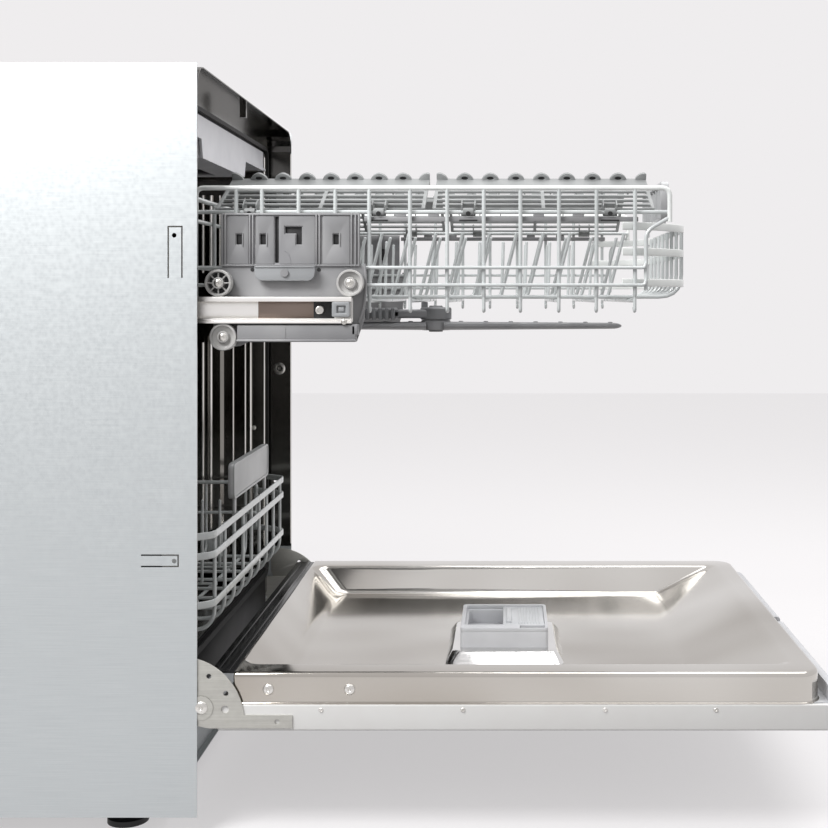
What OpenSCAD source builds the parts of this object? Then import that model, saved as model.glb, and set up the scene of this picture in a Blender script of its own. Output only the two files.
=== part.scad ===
// Under-counter dishwasher, door lowered and upper rack pulled out.
// Lengths are millimetres. X is the width, +Y the rear, +Z up, the floor is z = 0.
// Profiles use f, the distance in front of the side panels' front edges, in place of -Y.

/* [Cabinet] */
// Overall width across the side panels
cabinet_w = 598; // [560:1:620]
// Overall height, floor to top of the front frame
cabinet_h = 815; // [805:1:870]
// Depth from the side panels' front edges to the rear panel
cabinet_d = 570; // [550:1:600]
// Thickness of the side panel sheet
panel_t = 1; // [0.8:0.1:1.6]
// Height of the side panels' lower edge
panel_z = 20; // [10:1:40]
// Distance from the cabinet's side to the clear inside of the tub
tub_side_gap = 19; // [14:0.5:28]
// Height of the tub's floor
tub_floor_z = 150; // [140:1:155]
// Distance from the top of the front frame down to the tub's ceiling
ceiling_drop = 17; // [13:1:23]
// Distance between the rear panel's outside and the tub's rear wall
tub_rear_gap = 14; // [10:1:30]
// Sheet thickness of the tub
tub_t = 1.2; // [0.8:0.1:2]
// Corner radius of the tub
tub_r = 18; // [8:1:30]
// Depth of the front frame's jamb
jamb_d = 37; // [36:1:42]
// Outer corner radius of the front frame
frame_r = 28; // [18:1:34]
// Distance from the front to the base pan
kick_setback = 45; // [42:1:70]

/* [Door] */
// Distance of the hinge pins in front of the side panels
pivot_f = 4; // [3:0.5:6]
// Height of the hinge pins
pivot_z = 135; // [132:0.5:138]
// Radius of the hinge pins
pivot_r = 5; // [3:0.5:6]
// Distance from the closed door's top edge to the top of the front frame
door_top_gap = 5; // [4:0.5:12]
// Distance from the cabinet's side to the side of the liner's raised rim
liner_side_gap = 6; // [5.5:0.1:9]
// Height of the liner's rim above the hinge pins, door lowered
rim_o = 36; // [34:0.5:36]
// Depth of the liner's recess below its rim
recess_depth = 39; // [30:0.5:39]
// Width of the rim along each side of the recess
rim_w = 36; // [34:0.5:37]
// Width of the rim at the recess's outer end
outer_rim_w = 28; // [20:1:40]
// Width of the rim at the recess's hinge end
hinge_rim_w = 3; // [2.6:0.1:8]
// Run of the sloped wall at the recess's outer end
outer_ramp_l = 88; // [60:1:110]
// Run of the sloped wall at the recess's hinge end
hinge_ramp_l = 34; // [10:1:36]
// Run of the sloped walls along the recess's sides
side_ramp_w = 14; // [6:1:24]
// Corner radius of the recess
recess_r = 22; // [12:1:30]
// Sheet thickness of the liner
liner_t = 1.2; // [0.8:0.1:1.6]
// Distance of the outer panel's face below the hinge pins, door lowered
outer_o = 25; // [22:0.5:25]
// Length of the detergent housing along the door
dispenser_l = 106; // [90:1:110]
// Width of the detergent housing
dispenser_w = 122; // [100:1:126]
// Travel of the detergent lid
lid_travel = 46; // [30:1:48]
// Radius of the push buttons
button_r = 6; // [4:0.5:8]

/* [Upper rack] */
// Distance from the tub's clear inside to the rack's side wires
rack_side_gap = 31; // [30:0.5:40]
// How far the rack's front wires stand out, rack pulled out
rack_out = 529; // [500:1:529]
// How far behind the cabinet's front the rack's rear wires stand, rack pulled out
rack_back = 13; // [8:1:16]
// Height of the rack's floor wires
rack_floor_z = 564; // [562:1:568]
// Height of the rack's top wires
rack_top_z = 687; // [682:1:690]
// Diameter of the rack wires
wire_d = 4.5; // [3.5:0.1:5]
// Diameter of the top wires
top_wire_d = 5.5; // [4.5:0.1:6]
// Height of the flat front bands
band_h = 8.7; // [6:0.1:10]
// Thickness of the flat front bands
band_t = 2.2; // [1.5:0.1:3]
// Height of the upper rack's tine tips
tine_top_z = 640; // [620:1:646]
// Radius of the upper rack's wheels
rack_wheel_r = 14.5; // [12:0.5:14.5]
// Height of the telescopic rail
rail_h = 28.4; // [24:0.1:28.4]
// How far the rails stand out, rack pulled out
rail_out = 160; // [140:1:160]
// Length of a rail
rail_l = 515; // [480:1:515]
// Width of a cup shelf, from hinge to free edge
shelf_d = 112; // [90:1:114]
// Slope of the cup shelves
shelf_slope = 23.5; // [20:0.5:26]
// Thickness of a cup shelf
shelf_t = 3; // [2:0.1:4]

/* [Lower rack and tray] */
// Distance from the tub's clear inside to the lower rack's side wires
lower_side_gap = 23; // [22:0.5:30]
// Height of the lower rack's floor wires above the door's rim
lower_rise = 19; // [18:0.5:23]
// Height of the lower rack's top front band
lower_top_z = 308; // [290:1:315]
// Distance from the tub's rear wall to the lower rack's rear wires
lower_rear_gap = 23; // [21:1:60]
// Spacing of the tines along a row
tine_pitch = 24; // [20:1:34]
// Radius of the lower rack's wheels
lower_wheel_r = 17; // [15:0.5:17]
// Distance from the tub's clear inside to the cutlery tray's side
tray_side_gap = 23; // [20.5:0.5:30]
// Distance from the tub's rear wall to the cutlery tray
tray_rear_gap = 31; // [25:1:80]
// Distance from the tub's ceiling down to the cutlery tray's upper edge
tray_drop = 16; // [15:0.5:22]
// Thickness of the plastic mouldings
mould_t = 2.5; // [2:0.1:3.5]

/* [Water] */
// Distance of the spray arms' axis behind the front
arm_f = 290; // [285:1:295]
// Reach of the lower spray arm
lower_arm_r = 240; // [200:1:242]
// Reach of the middle spray arm
middle_arm_r = 238; // [200:1:240]
// Reach of the top spray arm
top_arm_r = 110; // [80:1:120]
// Radius of the sump
sump_r = 76; // [70:1:80]
// Radius of the inlet's threaded end
inlet_r = 13.2; // [10:0.1:13.2]
// Radius of the drain spigot
drain_r = 10; // [8:0.5:11]

/* [Hidden] */
$fn = 40;
wire_sides = 8;
tine_d = 4;

// clearances
gap = 0.3;
running = 0.05;
sheet_t = 1.2;

// places along f and z that several pieces share
button_proud = 1;
door_l = cabinet_h - pivot_z - door_top_gap;
front_f = pivot_f + door_l;
front_y = (front_f + button_proud - cabinet_d) / 2;
half = cabinet_w / 2;
panel_x = half - panel_t;
tub_x = half - tub_side_gap;
tub_ceiling_z = cabinet_h - ceiling_drop;
tub_d = cabinet_d - tub_rear_gap;
frame_x = panel_x - sheet_t;
flange_f = -jamb_d;
flange_front_f = flange_f + sheet_t;
tray_top_z = tub_ceiling_z - tray_drop;
opening_top_z = tray_top_z + 2;
jamb_z = pivot_z + 57;
rim_z = pivot_z + rim_o;
recess_z = rim_z - recess_depth;
sill_z = rim_z - 5;
liner_x = half - liner_side_gap;
door_panel_x = liner_x + 2.2;
recess_x = liner_x - rim_w;
outer_z = pivot_z - outer_o;
liner_f0 = pivot_f + 33;
liner_f1 = front_f - 19;
flange_o_z = pivot_z + pivot_f - gap;
plate_t = 1.8;
bracket_t = 3.9;
base_x = door_panel_x - gap - bracket_t;
base_f0 = -(cabinet_d - 15);
base_f1 = -kick_setback;
base_z = 18;
base_t = 4;
base_floor = base_z + base_t;
base_top = tub_floor_z - tub_t;
rack_x = tub_x - rack_side_gap;
outer_wire_x = rack_x + wire_d * 0.93;
hinge_wire_x = rack_x - wire_d;
shelf_z = rack_top_z - 26;
rail_x0 = tub_x - 18;
rail_z1 = rack_floor_z + 4.2;
rail_z0 = rail_z1 - rail_h;
rail_t = 1.5;
rail_lip = 5;
rail_x1 = rail_x0 + 15;
carriage_x = rack_x + 7;
carriage_t = 2.5;
wheel_x0 = rail_x0 + 1;
wheel_x1 = rail_x0 + 13;
axle_r = 4;
upper_wheel_z = rail_z1 + gap + rack_wheel_r;
under_wheel_z = rail_z0 - gap - rack_wheel_r;
rear_wheel_f = 16.5;
front_wheel_f = 158;
under_wheel_f = 21.8;
lever_x0 = carriage_x + carriage_t + 2.3;
lever_x1 = lever_x0 + 7;
lever_f = 87;
lever_z = rail_z1 + 25.8;
lever_pin_r = 2.5;
lower_x = tub_x - lower_side_gap;
lower_f1 = 1;
lower_f0 = -(tub_d - lower_rear_gap);
lower_floor_z = rim_z + lower_rise;
lower_wheel_z = rim_z + gap + lower_wheel_r;
lower_arm_z = rim_z - 2.5;
track_x0 = tub_x - 18;
tray_z0 = tray_top_z - 27;
tray_f1 = -35;
tray_f0 = -(tub_d - tray_rear_gap);
runner_z = tray_z0 + 1;
arm_hub_f = 235;
hose_x = base_x - 71;
hose_z = 50;
hose_l = 12;
screw_f = -24;
screw_r = 2.5;
screw_z = [290, 633];
neck_x = -(base_x - 91);
tank_x = 66;
tank_f = 60;
neck_f = -170;

function at(x, f, z) = [x, front_y - f, z];
function arc(c, r, a0, a1, n = 6) =
    [for (i = [0:n]) c + r * [cos(a0 + (a1 - a0) * i / n), sin(a0 + (a1 - a0) * i / n)]];
function rounded(x0, y0, x1, y1, r, n = 5) = concat(
    arc([x1 - r, y0 + r], r, -90, 0, n),
    arc([x1 - r, y1 - r], r, 0, 90, n),
    arc([x0 + r, y1 - r], r, 90, 180, n),
    arc([x0 + r, y0 + r], r, 180, 270, n)
);

// a profile drawn in f and z, spanning x0 to x1
module across(x0, x1)
    translate([x1, front_y, 0]) rotate([90, 0, -90]) linear_extrude(x1 - x0) children();

// a profile drawn in x and z, spanning f0 to f1
module along(f0, f1)
    translate([0, front_y - f0, 0]) rotate([90, 0, 0]) linear_extrude(f1 - f0) children();

// a plan drawn in x and f, spanning z0 to z1
module upward(z0, z1)
    translate([0, front_y, z0]) mirror([0, 1, 0]) linear_extrude(z1 - z0) children();

module both_sides() {
    children();
    mirror([1, 0, 0]) children();
}

module block(x0, x1, f0, f1, z0, z1)
    translate([x0, front_y - f1, z0]) cube([x1 - x0, f1 - f0, z1 - z0]);

module pin_x(f, z, x0, x1, r)
    translate(at(x0, f, z)) rotate([0, 90, 0]) cylinder(h = x1 - x0, r = r);

module pin_z(x, f, z0, z1, r)
    translate(at(x, f, z0)) cylinder(h = z1 - z0, r = r);

// a pin that runs from f0 forward to f1
module pin_f(x, z, f0, f1, r)
    translate(at(x, f0, z)) rotate([90, 0, 0]) cylinder(h = f1 - f0, r = r);

// one straight length of wire, run on a little past both ends so that bends close,
// with its flats turned by direction so that crossing wires share no plane
module rod(a, b, d, over = 0) {
    run = b - a;
    l = norm(run);
    turn = (22.5 * abs(run[2]) + 7 * abs(run[1])) / l;
    translate(a) rotate([0, acos(run[2] / l), atan2(run[1], run[0])]) rotate([0, 0, turn])
        translate([0, 0, -over]) cylinder(h = l + 2 * over, d = d, $fn = wire_sides);
}

module wire(points, d) {
    places = [for (p = points) at(p[0], p[1], p[2])];
    for (i = [0:len(places) - 2]) rod(places[i], places[i + 1], d, d * 0.2);
}

// a flat strip of width w on edge along a plan path
module strip(points, w, z0, z1)
    upward(z0, z1)
        for (i = [0:len(points) - 2]) {
            run = points[i + 1] - points[i];
            translate(points[i]) rotate(atan2(run[1], run[0]))
                translate([-w / 2, -w / 2]) square([norm(run) + w, w]);
        }

// base, feet and covers

module foot_places()
    for (x = [-1, 1] * (base_x - 36), f = [base_f0 + 40, base_f1 - 40]) translate(at(x, f, 0)) children();

module base_pan() color("dimgray") {
    wall = base_t;
    difference() {
        union() {
            difference() {
                upward(base_z, base_top) polygon(rounded(-base_x, base_f0, base_x, base_f1, 20));
                upward(base_floor, base_top + 1)
                    polygon(rounded(-base_x + wall, base_f0 + wall, base_x - wall, base_f1 - wall, 16));
            }
            foot_places() translate([0, 0, base_z]) cylinder(h = 44, r = 13);
            for (x = [-120, 120])
                block(x - wall / 2, x + wall / 2, base_f0 + wall / 2, base_f0 + 90, base_floor - 1, 80);
            block(-base_x + 40, base_x - 40, base_f1 - 64, base_f1 - 60, base_floor - 1, 56);
        }
        foot_places() translate([0, 0, base_z - 1]) cylinder(h = 50, r = 5 + gap);
        pin_f(-hose_x, hose_z, base_f0 - 1, base_f0 + 10, inlet_r + 1);
        pin_f(hose_x, hose_z, base_f0 - 1, base_f0 + 10, drain_r + 1);
        for (x = [-60, 0, 60]) block(x - 22, x + 22, base_f0 - 1, base_f0 + wall + 1, 70, 110);
    }
}

module adjusting_feet() color("black")
    foot_places() {
        cylinder(h = 6, r = 22);
        translate([0, 0, 6]) cylinder(h = 4, r1 = 22, r2 = 14);
        translate([0, 0, 10]) cylinder(h = 7, r = 9, $fn = 6);
        translate([0, 0, 10]) cylinder(h = 44, r = 5);
    }

module kick_plate() color("silver") {
    kick_x = base_x - 4;
    block(-kick_x, kick_x, base_f1, base_f1 + sheet_t, base_floor, 118);
    block(-kick_x, kick_x, base_f1, base_f1 + 10, 118 - sheet_t, 118);
    block(-kick_x, kick_x, base_f1, base_f1 + 8, base_floor, base_floor + sheet_t);
}

module side_panel() {
    slot_w = 1.6;
    across(panel_x, half) difference() {
        polygon([[-cabinet_d + panel_t, panel_z], [0, panel_z], [0, cabinet_h],
            [-cabinet_d + panel_t, cabinet_h]]);
        // slits round the upright and the level fixing tab, and a hole in each
        for (f = [-31, -15 - slot_w]) translate([f, 588]) square([slot_w, 55]);
        translate([-31, 643 - slot_w]) square([16, slot_w]);
        for (z = [283.5, 297 - slot_w]) translate([-59, z]) square([40, slot_w]);
        translate([-19 - slot_w, 283.5]) square([slot_w, 13.5]);
        for (z = screw_z) translate([screw_f, z]) circle(r = screw_r);
    }
    block(half - 26, half - panel_t / 2, -cabinet_d + panel_t, -cabinet_d + 2 * panel_t,
        panel_z + 1, cabinet_h - 4);
}

module side_panel_left() color("gainsboro") mirror([1, 0, 0]) side_panel();

module side_panel_right() color("gainsboro") side_panel();

module rear_panel() color("silver") {
    x = half - 10;
    difference() {
        block(-x, x, -cabinet_d, -cabinet_d + panel_t, 125, cabinet_h - 18);
        for (z = [220, 300]) along(-cabinet_d - 1, -cabinet_d + 2)
            polygon(rounded(-60, z, 60, z + 12, 6));
    }
    for (z = [400, 480, 560, 640]) across(-x + 40, x - 40)
        polygon([[-cabinet_d + panel_t, z], [-cabinet_d + panel_t + 4, z + 5],
            [-cabinet_d + panel_t + 4, z + 15], [-cabinet_d + panel_t, z + 20]]);
}

module top_brace(f0, f1) {
    z1 = cabinet_h - 2;
    difference() {
        union() {
            block(-panel_x, panel_x, f0, f1, z1 - 1.5, z1);
            block(-panel_x, panel_x, f0, f0 + 1.5, z1 - 10, z1);
            block(-panel_x, panel_x, f1 - 1.5, f1, z1 - 10, z1);
        }
        for (x = [-1, 1] * (panel_x - 48)) pin_z(x, (f0 + f1) / 2, z1 - 5, z1 + 1, 3);
    }
}

module top_braces() color("silver") {
    top_brace(flange_f - 34, flange_f);
    top_brace(-cabinet_d + 12, -cabinet_d + 46);
}

// tub and what is fixed in it

module tub_shell() color("silver") {
    difference() {
        along(-tub_d - tub_t, flange_f)
            polygon(rounded(-tub_x - tub_t, tub_floor_z - tub_t, tub_x + tub_t,
                tub_ceiling_z + tub_t, tub_r + tub_t));
        along(-tub_d, flange_f + 1)
            polygon(rounded(-tub_x, tub_floor_z, tub_x, tub_ceiling_z, tub_r));
        pin_z(0, -arm_f, tub_floor_z - 5, tub_floor_z + 2, sump_r + gap);
        pin_z(neck_x, neck_f, tub_floor_z - 5, tub_floor_z + 2, 36);
    }
    // pressed upright beads of the side walls
    both_sides() for (f = [-110, -230, -350, -470]) upward(tub_floor_z + 60, rail_z0 - 30)
        polygon([[tub_x, f - 12], [tub_x - 3, f - 7], [tub_x - 3, f + 7], [tub_x, f + 12]]);
}

module tub_front_frame() color("silver") {
    // jamb sheet, open at the foot for the hinge plates
    difference() {
        along(flange_f, 0) difference() {
            polygon(rounded(-panel_x, jamb_z - frame_r, panel_x, cabinet_h, frame_r));
            polygon(rounded(-frame_x, jamb_z - frame_r, frame_x, cabinet_h - sheet_t, frame_r - sheet_t));
            translate([-half, jamb_z - frame_r - 1]) square([cabinet_w, frame_r + 1]);
        }
        for (z = screw_z) pin_x(screw_f, z, -half, half, screw_r);
    }
    // flange that carries the gasket
    along(flange_f, flange_front_f) difference() {
        polygon(concat([[frame_x + 0.2, jamb_z]],
            arc([frame_x + 0.2 - frame_r, cabinet_h - 1 - frame_r], frame_r, 0, 90),
            arc([-frame_x - 0.2 + frame_r, cabinet_h - 1 - frame_r], frame_r, 90, 180),
            [[-frame_x - 0.2, jamb_z], [gap - base_x, jamb_z], [gap - base_x, pivot_z - 10],
            [base_x - gap, pivot_z - 10], [base_x - gap, jamb_z]]));
        polygon(rounded(-tub_x, sill_z, tub_x, opening_top_z, 14));
    }
    // strike that the door latch holds
    block(-3, 3, -16, -8, cabinet_h - 17, cabinet_h - sheet_t / 2);
}

module door_gasket() color("black") {
    front = pivot_f - rim_o - gap;
    along(flange_front_f, front) difference() {
        polygon(rounded(-liner_x + 3, sill_z - 14, liner_x - 3, opening_top_z + 6.5, 18));
        polygon(rounded(-tub_x - 3, sill_z - 6, tub_x + 3, opening_top_z + 1.5, 12));
    }
}

module rack_tracks() color("darkgray") both_sides() {
    along(-tub_d + 8, flange_f - 2)
        polygon([[tub_x, tub_floor_z + tub_r], [tub_x, rim_z], [track_x0, rim_z],
            [track_x0, rim_z - 4], [tub_x - 2, rim_z - 4]]);
    along(-tub_d + 14, flange_f - 8)
        polygon([[tub_x, runner_z - 12], [tub_x, runner_z - gap], [tub_x - 16, runner_z - gap],
            [tub_x - 16, runner_z - 2.5], [tub_x - 2, runner_z - 2.5]]);
}

module rail_glides() color("black") both_sides()
    for (f = [flange_f - 76, -340]) {
        block(rail_x1 + 1, tub_x, f, f + 30, rail_z0 - 6, rail_z1 + 6);
        block(rail_x1 - rail_t - 1.5, rail_x1 + 2, f, f + 30,
            rail_z0 + rail_lip + 0.5, rail_z1 - rail_lip - 0.5);
        block(rail_x0 + rail_t + 0.5, rail_x1 - rail_t - 0.5, f, f + 30,
            rail_z0 + rail_t + 0.5, rail_z1 - rail_t - 0.5);
    }

module sump_housing() color("darkslategray") {
    floor_z = 95;
    difference() {
        union() {
            pin_z(0, -arm_f, floor_z, tub_floor_z + 0.4, sump_r);
            pin_z(0, -arm_f, base_top - 2, base_top, sump_r + 14);
        }
        pin_z(0, -arm_f, floor_z + 3, tub_floor_z + 2, sump_r - 3);
    }
    pin_z(0, -arm_f, floor_z + 1, lower_arm_z - 0.4, 12);
    pin_z(0, -arm_f, lower_arm_z - 1, lower_arm_z + 13, 8);
    pin_z(0, -arm_f, lower_arm_z + 12.4, lower_arm_z + 14, 12);
    // stub that feeds the rear duct
    block(-16, 16, -arm_f - sump_r - 10, -arm_f - sump_r + 2, tub_floor_z + gap, tub_floor_z + 8);
}

cup_r = 27;
cup_x = 30;
cup_f = -arm_f + 30;

module filter_plate() color("lightslategray")
    difference() {
        pin_z(0, -arm_f, tub_floor_z - 4, tub_floor_z - 2, sump_r - 3.2);
        pin_z(0, -arm_f, tub_floor_z - 5, tub_floor_z, 12 + gap);
        pin_z(cup_x, cup_f, tub_floor_z - 5, tub_floor_z, cup_r + 0.5);
        for (a = [120:30:330], r = [34, 54])
            translate(at(r * cos(a), -arm_f + r * sin(a), tub_floor_z - 5)) cylinder(h = 5, r = 5);
    }

module filter_cup() color("lightslategray") {
    difference() {
        union() {
            pin_z(cup_x, cup_f, 104, tub_floor_z + 3, cup_r);
            pin_z(cup_x, cup_f, tub_floor_z - 1.7, tub_floor_z + 0.4, cup_r + 2.5);
        }
        pin_z(cup_x, cup_f, 106, tub_floor_z + 4, cup_r - 2);
        for (a = [0:45:315], z = [112, 126])
            translate(at(cup_x, cup_f, z)) rotate([0, 0, a]) translate([cup_r - 5, -5, 0]) cube([10, 10, 9]);
    }
    block(cup_x - 2, cup_x + 2, cup_f - cup_r + 1, cup_f + cup_r - 1, tub_floor_z - 6, tub_floor_z + 14);
}

module circulation_pump() color("gray") {
    z = 82;
    pin_x(-arm_f, z, -208, -150, 30);
    pin_x(-arm_f, z, -150, -112, 38);
    pin_x(-arm_f, z + 26, -113, -sump_r - gap, 10);
    for (x = [-195, -135]) block(x - 6, x + 6, -arm_f - 24, -arm_f + 24, base_floor, z - 20);
}

module drain_pump() color("gray") {
    z = 62;
    pin_x(-arm_f - 30, z, 96, 122, 28);
    pin_x(-arm_f - 30, z, 122, 160, 20);
    block(104, 114, -arm_f - 50, -arm_f - 10, base_floor, z - 20);
    block(140, 150, -arm_f - 45, -arm_f - 15, base_floor, z - 15);
}

module water_softener() color("whitesmoke") {
    upward(base_floor, base_top - 6)
        polygon(rounded(neck_x - tank_x, neck_f - tank_f, neck_x + tank_x, neck_f + tank_f, 16));
    difference() {
        pin_z(neck_x, neck_f, base_top - 7, tub_floor_z + 6, 34);
        pin_z(neck_x, neck_f, tub_floor_z - 12, tub_floor_z + 7, 29);
    }
}

module salt_cap() color("royalblue") {
    z0 = tub_floor_z + 6 + gap;
    pin_z(neck_x, neck_f, z0, z0 + 7, 37);
    pin_z(neck_x, neck_f, z0 - 8, z0 + 1, 28.5);
    for (a = [0:45:135])
        translate(at(neck_x, neck_f, z0 + 6)) rotate([0, 0, a]) translate([-30, -2, 0]) cube([60, 4, 4]);
}

module inlet_valve() color("whitesmoke") {
    f0 = base_f0 + base_t + 6;
    block(-hose_x - 20, -hose_x + 20, f0, f0 + 40, base_floor, 72);
    pin_f(-hose_x, hose_z, base_f0 - hose_l, base_f0, inlet_r);
    pin_f(-hose_x, hose_z, base_f0 - 1, f0 + 1, inlet_r - 2);
}

module drain_spigot() color("dimgray") {
    f0 = base_f0 + base_t + 6;
    block(hose_x - 20, hose_x + 20, f0, f0 + 26, base_floor, 70);
    difference() {
        union() {
            pin_f(hose_x, hose_z, base_f0 - hose_l, base_f0, drain_r);
            pin_f(hose_x, hose_z, base_f0 - 1, f0 + 1, drain_r - 1);
        }
        pin_f(hose_x, hose_z, base_f0 - hose_l - 1, f0 - 3, drain_r - 3);
    }
}

module water_duct() color("gainsboro") {
    rear = -tub_d;
    face = rear + 8.5;
    top = tub_ceiling_z - 0.5;
    floor_run = tub_floor_z + gap;
    across(-18, 18)
        polygon([[rear, floor_run], [-arm_f - sump_r - 10, floor_run], [-arm_f - sump_r - 10, floor_run + 8],
            [face, floor_run + 8], [face, top - 8], [-arm_f + 14, top - 8], [-arm_f + 14, top], [rear, top]]);
    pin_z(0, -arm_f, tray_top_z + 0.6, top - 1, 5);
    pin_z(0, -arm_f, tray_top_z + 0.6, tray_top_z + 1.6, 8);
}

module balance_springs() color("silver") both_sides() {
    x = base_x - 13.5;
    pin_f(x, 50, -230, -90, 8);
    for (f = [-232, -94]) block(x - 5, x + 5, f, f + 6, base_floor, 52);
}

module hinge_brackets() color("silver") both_sides() {
    x1 = door_panel_x - gap;
    across(base_x, x1)
        polygon(concat(arc([pivot_f, pivot_z], 12, -90, 90, 8),
            [[-70, pivot_z + 12], [-70, pivot_z - 40], [base_f1, pivot_z - 40]]));
    pin_x(pivot_f, pivot_z, x1 - 1, x1 + gap + plate_t + 0.8, pivot_r);
    pin_x(pivot_f, pivot_z, x1 + 2 * gap + plate_t, x1 + 2 * gap + plate_t + 0.5, 12.5);
}

// spray arms: a hub and two tapered blades with raised nozzles

module spray_arm(reach, w, z0, z1, hub_r, bore_r, f, nozzles) {
    tip_r = w / 3;
    difference() {
        union() {
            upward(z0, z1) translate([0, f]) polygon(concat(
                arc([reach - tip_r, 0], tip_r, -75, 75, 6),
                [[0, w / 2]],
                arc([-reach + tip_r, 0], tip_r, 105, 255, 6),
                [[0, -w / 2]]));
            pin_z(0, f, z0, z1 + 2, hub_r);
            for (i = [1:nozzles], s = [-1, 1])
                pin_z(s * i * (reach - 14) / nozzles, f + s * w / 8, z1 - 1, z1 + 1.2, 3);
        }
        pin_z(0, f, z0 - 1, z1 + 3, bore_r + running);
    }
}

module lower_spray_arm() color("gray")
    spray_arm(lower_arm_r, 52, lower_arm_z, lower_arm_z + 10, 20, 8, -arm_f, 6);

// drawn along f, as it hangs under the rack
module middle_spray_arm() color("gray")
    translate(at(0, arm_hub_f, 0)) rotate([0, 0, 90]) translate(-at(0, arm_hub_f, 0)) spray_arm(middle_arm_r, 46, rack_floor_z - 38.4, rack_floor_z - 27.4, 19, 6, arm_hub_f, 7);

module top_spray_arm() color("gray")
    spray_arm(top_arm_r, 26, tray_top_z + 2, tray_top_z + 4.5, 11, 5, -arm_f, 4);

// door, drawn lowered

function liner_plan(inset) = concat(
    arc([liner_x - 24 - inset, liner_f1 - 24 - inset], 24, 0, 90),
    arc([-liner_x + 24 + inset, liner_f1 - 24 - inset], 24, 90, 180),
    [[-liner_x + inset, liner_f0 + inset], [liner_x - inset, liner_f0 + inset]]);

module recess_plan(grow, draw_in, f0, f1)
    polygon(rounded(-recess_x - grow + draw_in, f0 - grow, recess_x + grow - draw_in, f1 + grow, recess_r));

module recess(grow, z_floor, z_top) {
    f0 = liner_f0 + hinge_rim_w;
    f1 = liner_f1 - outer_rim_w;
    hull() {
        upward(z_floor, z_floor + 0.5) recess_plan(grow, side_ramp_w, f0 + hinge_ramp_l, f1 - outer_ramp_l);
        upward(z_top - 0.5, z_top) recess_plan(grow, 0, f0, f1);
    }
}

module door_liner() color("silver") {
    difference() {
        union() {
            upward(flange_o_z, rim_z) polygon(liner_plan(0));
            upward(flange_o_z, flange_o_z + liner_t) polygon(liner_plan(-1.8));
        }
        upward(flange_o_z - 1, rim_z - liner_t) polygon(liner_plan(liner_t));
        recess(0, recess_z, rim_z + 0.4);
    }
    difference() {
        recess(liner_t, recess_z - liner_t, rim_z);
        recess(0, recess_z, rim_z + 0.4);
    }
}

module door_outer_panel() color("silver") {
    f0 = pivot_f + 16;
    f1 = front_f - 11;
    difference() {
        block(-door_panel_x, door_panel_x, f0, f1, outer_z, flange_o_z);
        block(-door_panel_x + sheet_t, door_panel_x - sheet_t, f0 + sheet_t, f1 + 1,
            outer_z + 1, flange_o_z + 1);
    }
    // pressed stiffening channels inside the skin
    for (x = [-180, 0, 180]) along(f0 + 30, f1 - 60)
        polygon([[x - 14, outer_z + 1], [x - 8, outer_z + 6], [x + 8, outer_z + 6], [x + 14, outer_z + 1]]);
}

latch_f = front_f - 8;
latch_z = rim_z - 24;
latch_pin_r = 1.5;

module button_sites()
    for (i = [0:2]) translate([-150 + 40 * i, 0, 0]) children();

module control_console() color("lightgray") {
    x = door_panel_x;
    f1 = front_f;
    seat = front_f - 11 + gap;
    pocket_z0 = latch_z - 4;
    difference() {
        union() {
            across(-x, x) polygon(concat([[seat, outer_z]],
                arc([f1 - 4, outer_z + 4], 4, -90, 0, 4),
                arc([f1 - 4, rim_z - 20], 4, 0, 90, 4),
                [[seat, rim_z - 16]]));
            block(-x + 6, x - 6, front_f - 34, seat + 1, outer_z + 1, flange_o_z - 0.2);
        }
        // rounded top corners of the closed door
        both_sides() upward(outer_z - 1, rim_z) difference() {
            translate([x - 26, f1 - 26]) square([30, 30]);
            translate([x - 26, f1 - 26]) circle(r = 26);
        }
        // pocket for the latch and strike
        block(-12, 12, front_f - 15, f1 + 1, pocket_z0, rim_z);
        button_sites() pin_f(0, pivot_z - 12, f1 - 6, f1 + 1, button_r + gap);
    }
    pin_x(latch_f, latch_z + 2, 4, 13, latch_pin_r);
}

module door_bottom_seal() color("dimgray")
    block(-liner_x + 7, liner_x - 7, pivot_f + 6, liner_f0, rim_z - 3, rim_z);

module hinge_plates() color("silver") both_sides()
    across(door_panel_x, door_panel_x + plate_t) difference() {
        polygon(concat(arc([pivot_f - 23.5, pivot_z - 15], 69, 6, 100, 12),
            [[pivot_f - 34, pivot_z + 18], [pivot_f - 16, pivot_z - 17],
            [pivot_f + 8, pivot_z - 22], [pivot_f + 96, pivot_z - 22], [pivot_f + 96, pivot_z - 8]]));
        translate([pivot_f, pivot_z]) circle(r = pivot_r + running);
        translate([pivot_f + 25, pivot_z - 2]) circle(r = 4);
        translate([pivot_f + 80, pivot_z - 15]) circle(r = 2.5);
    }

// detergent dispenser
disp_x0 = -104;
disp_f0 = 270;
disp_z0 = recess_z + 15;
disp_z1 = rim_z - 1;
rinse_f = disp_f0 + dispenser_l - 6;
rinse_z = disp_z1 - 3.9;
rinse_r = 1.8;
rinse_pin_r = 0.9;

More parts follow.
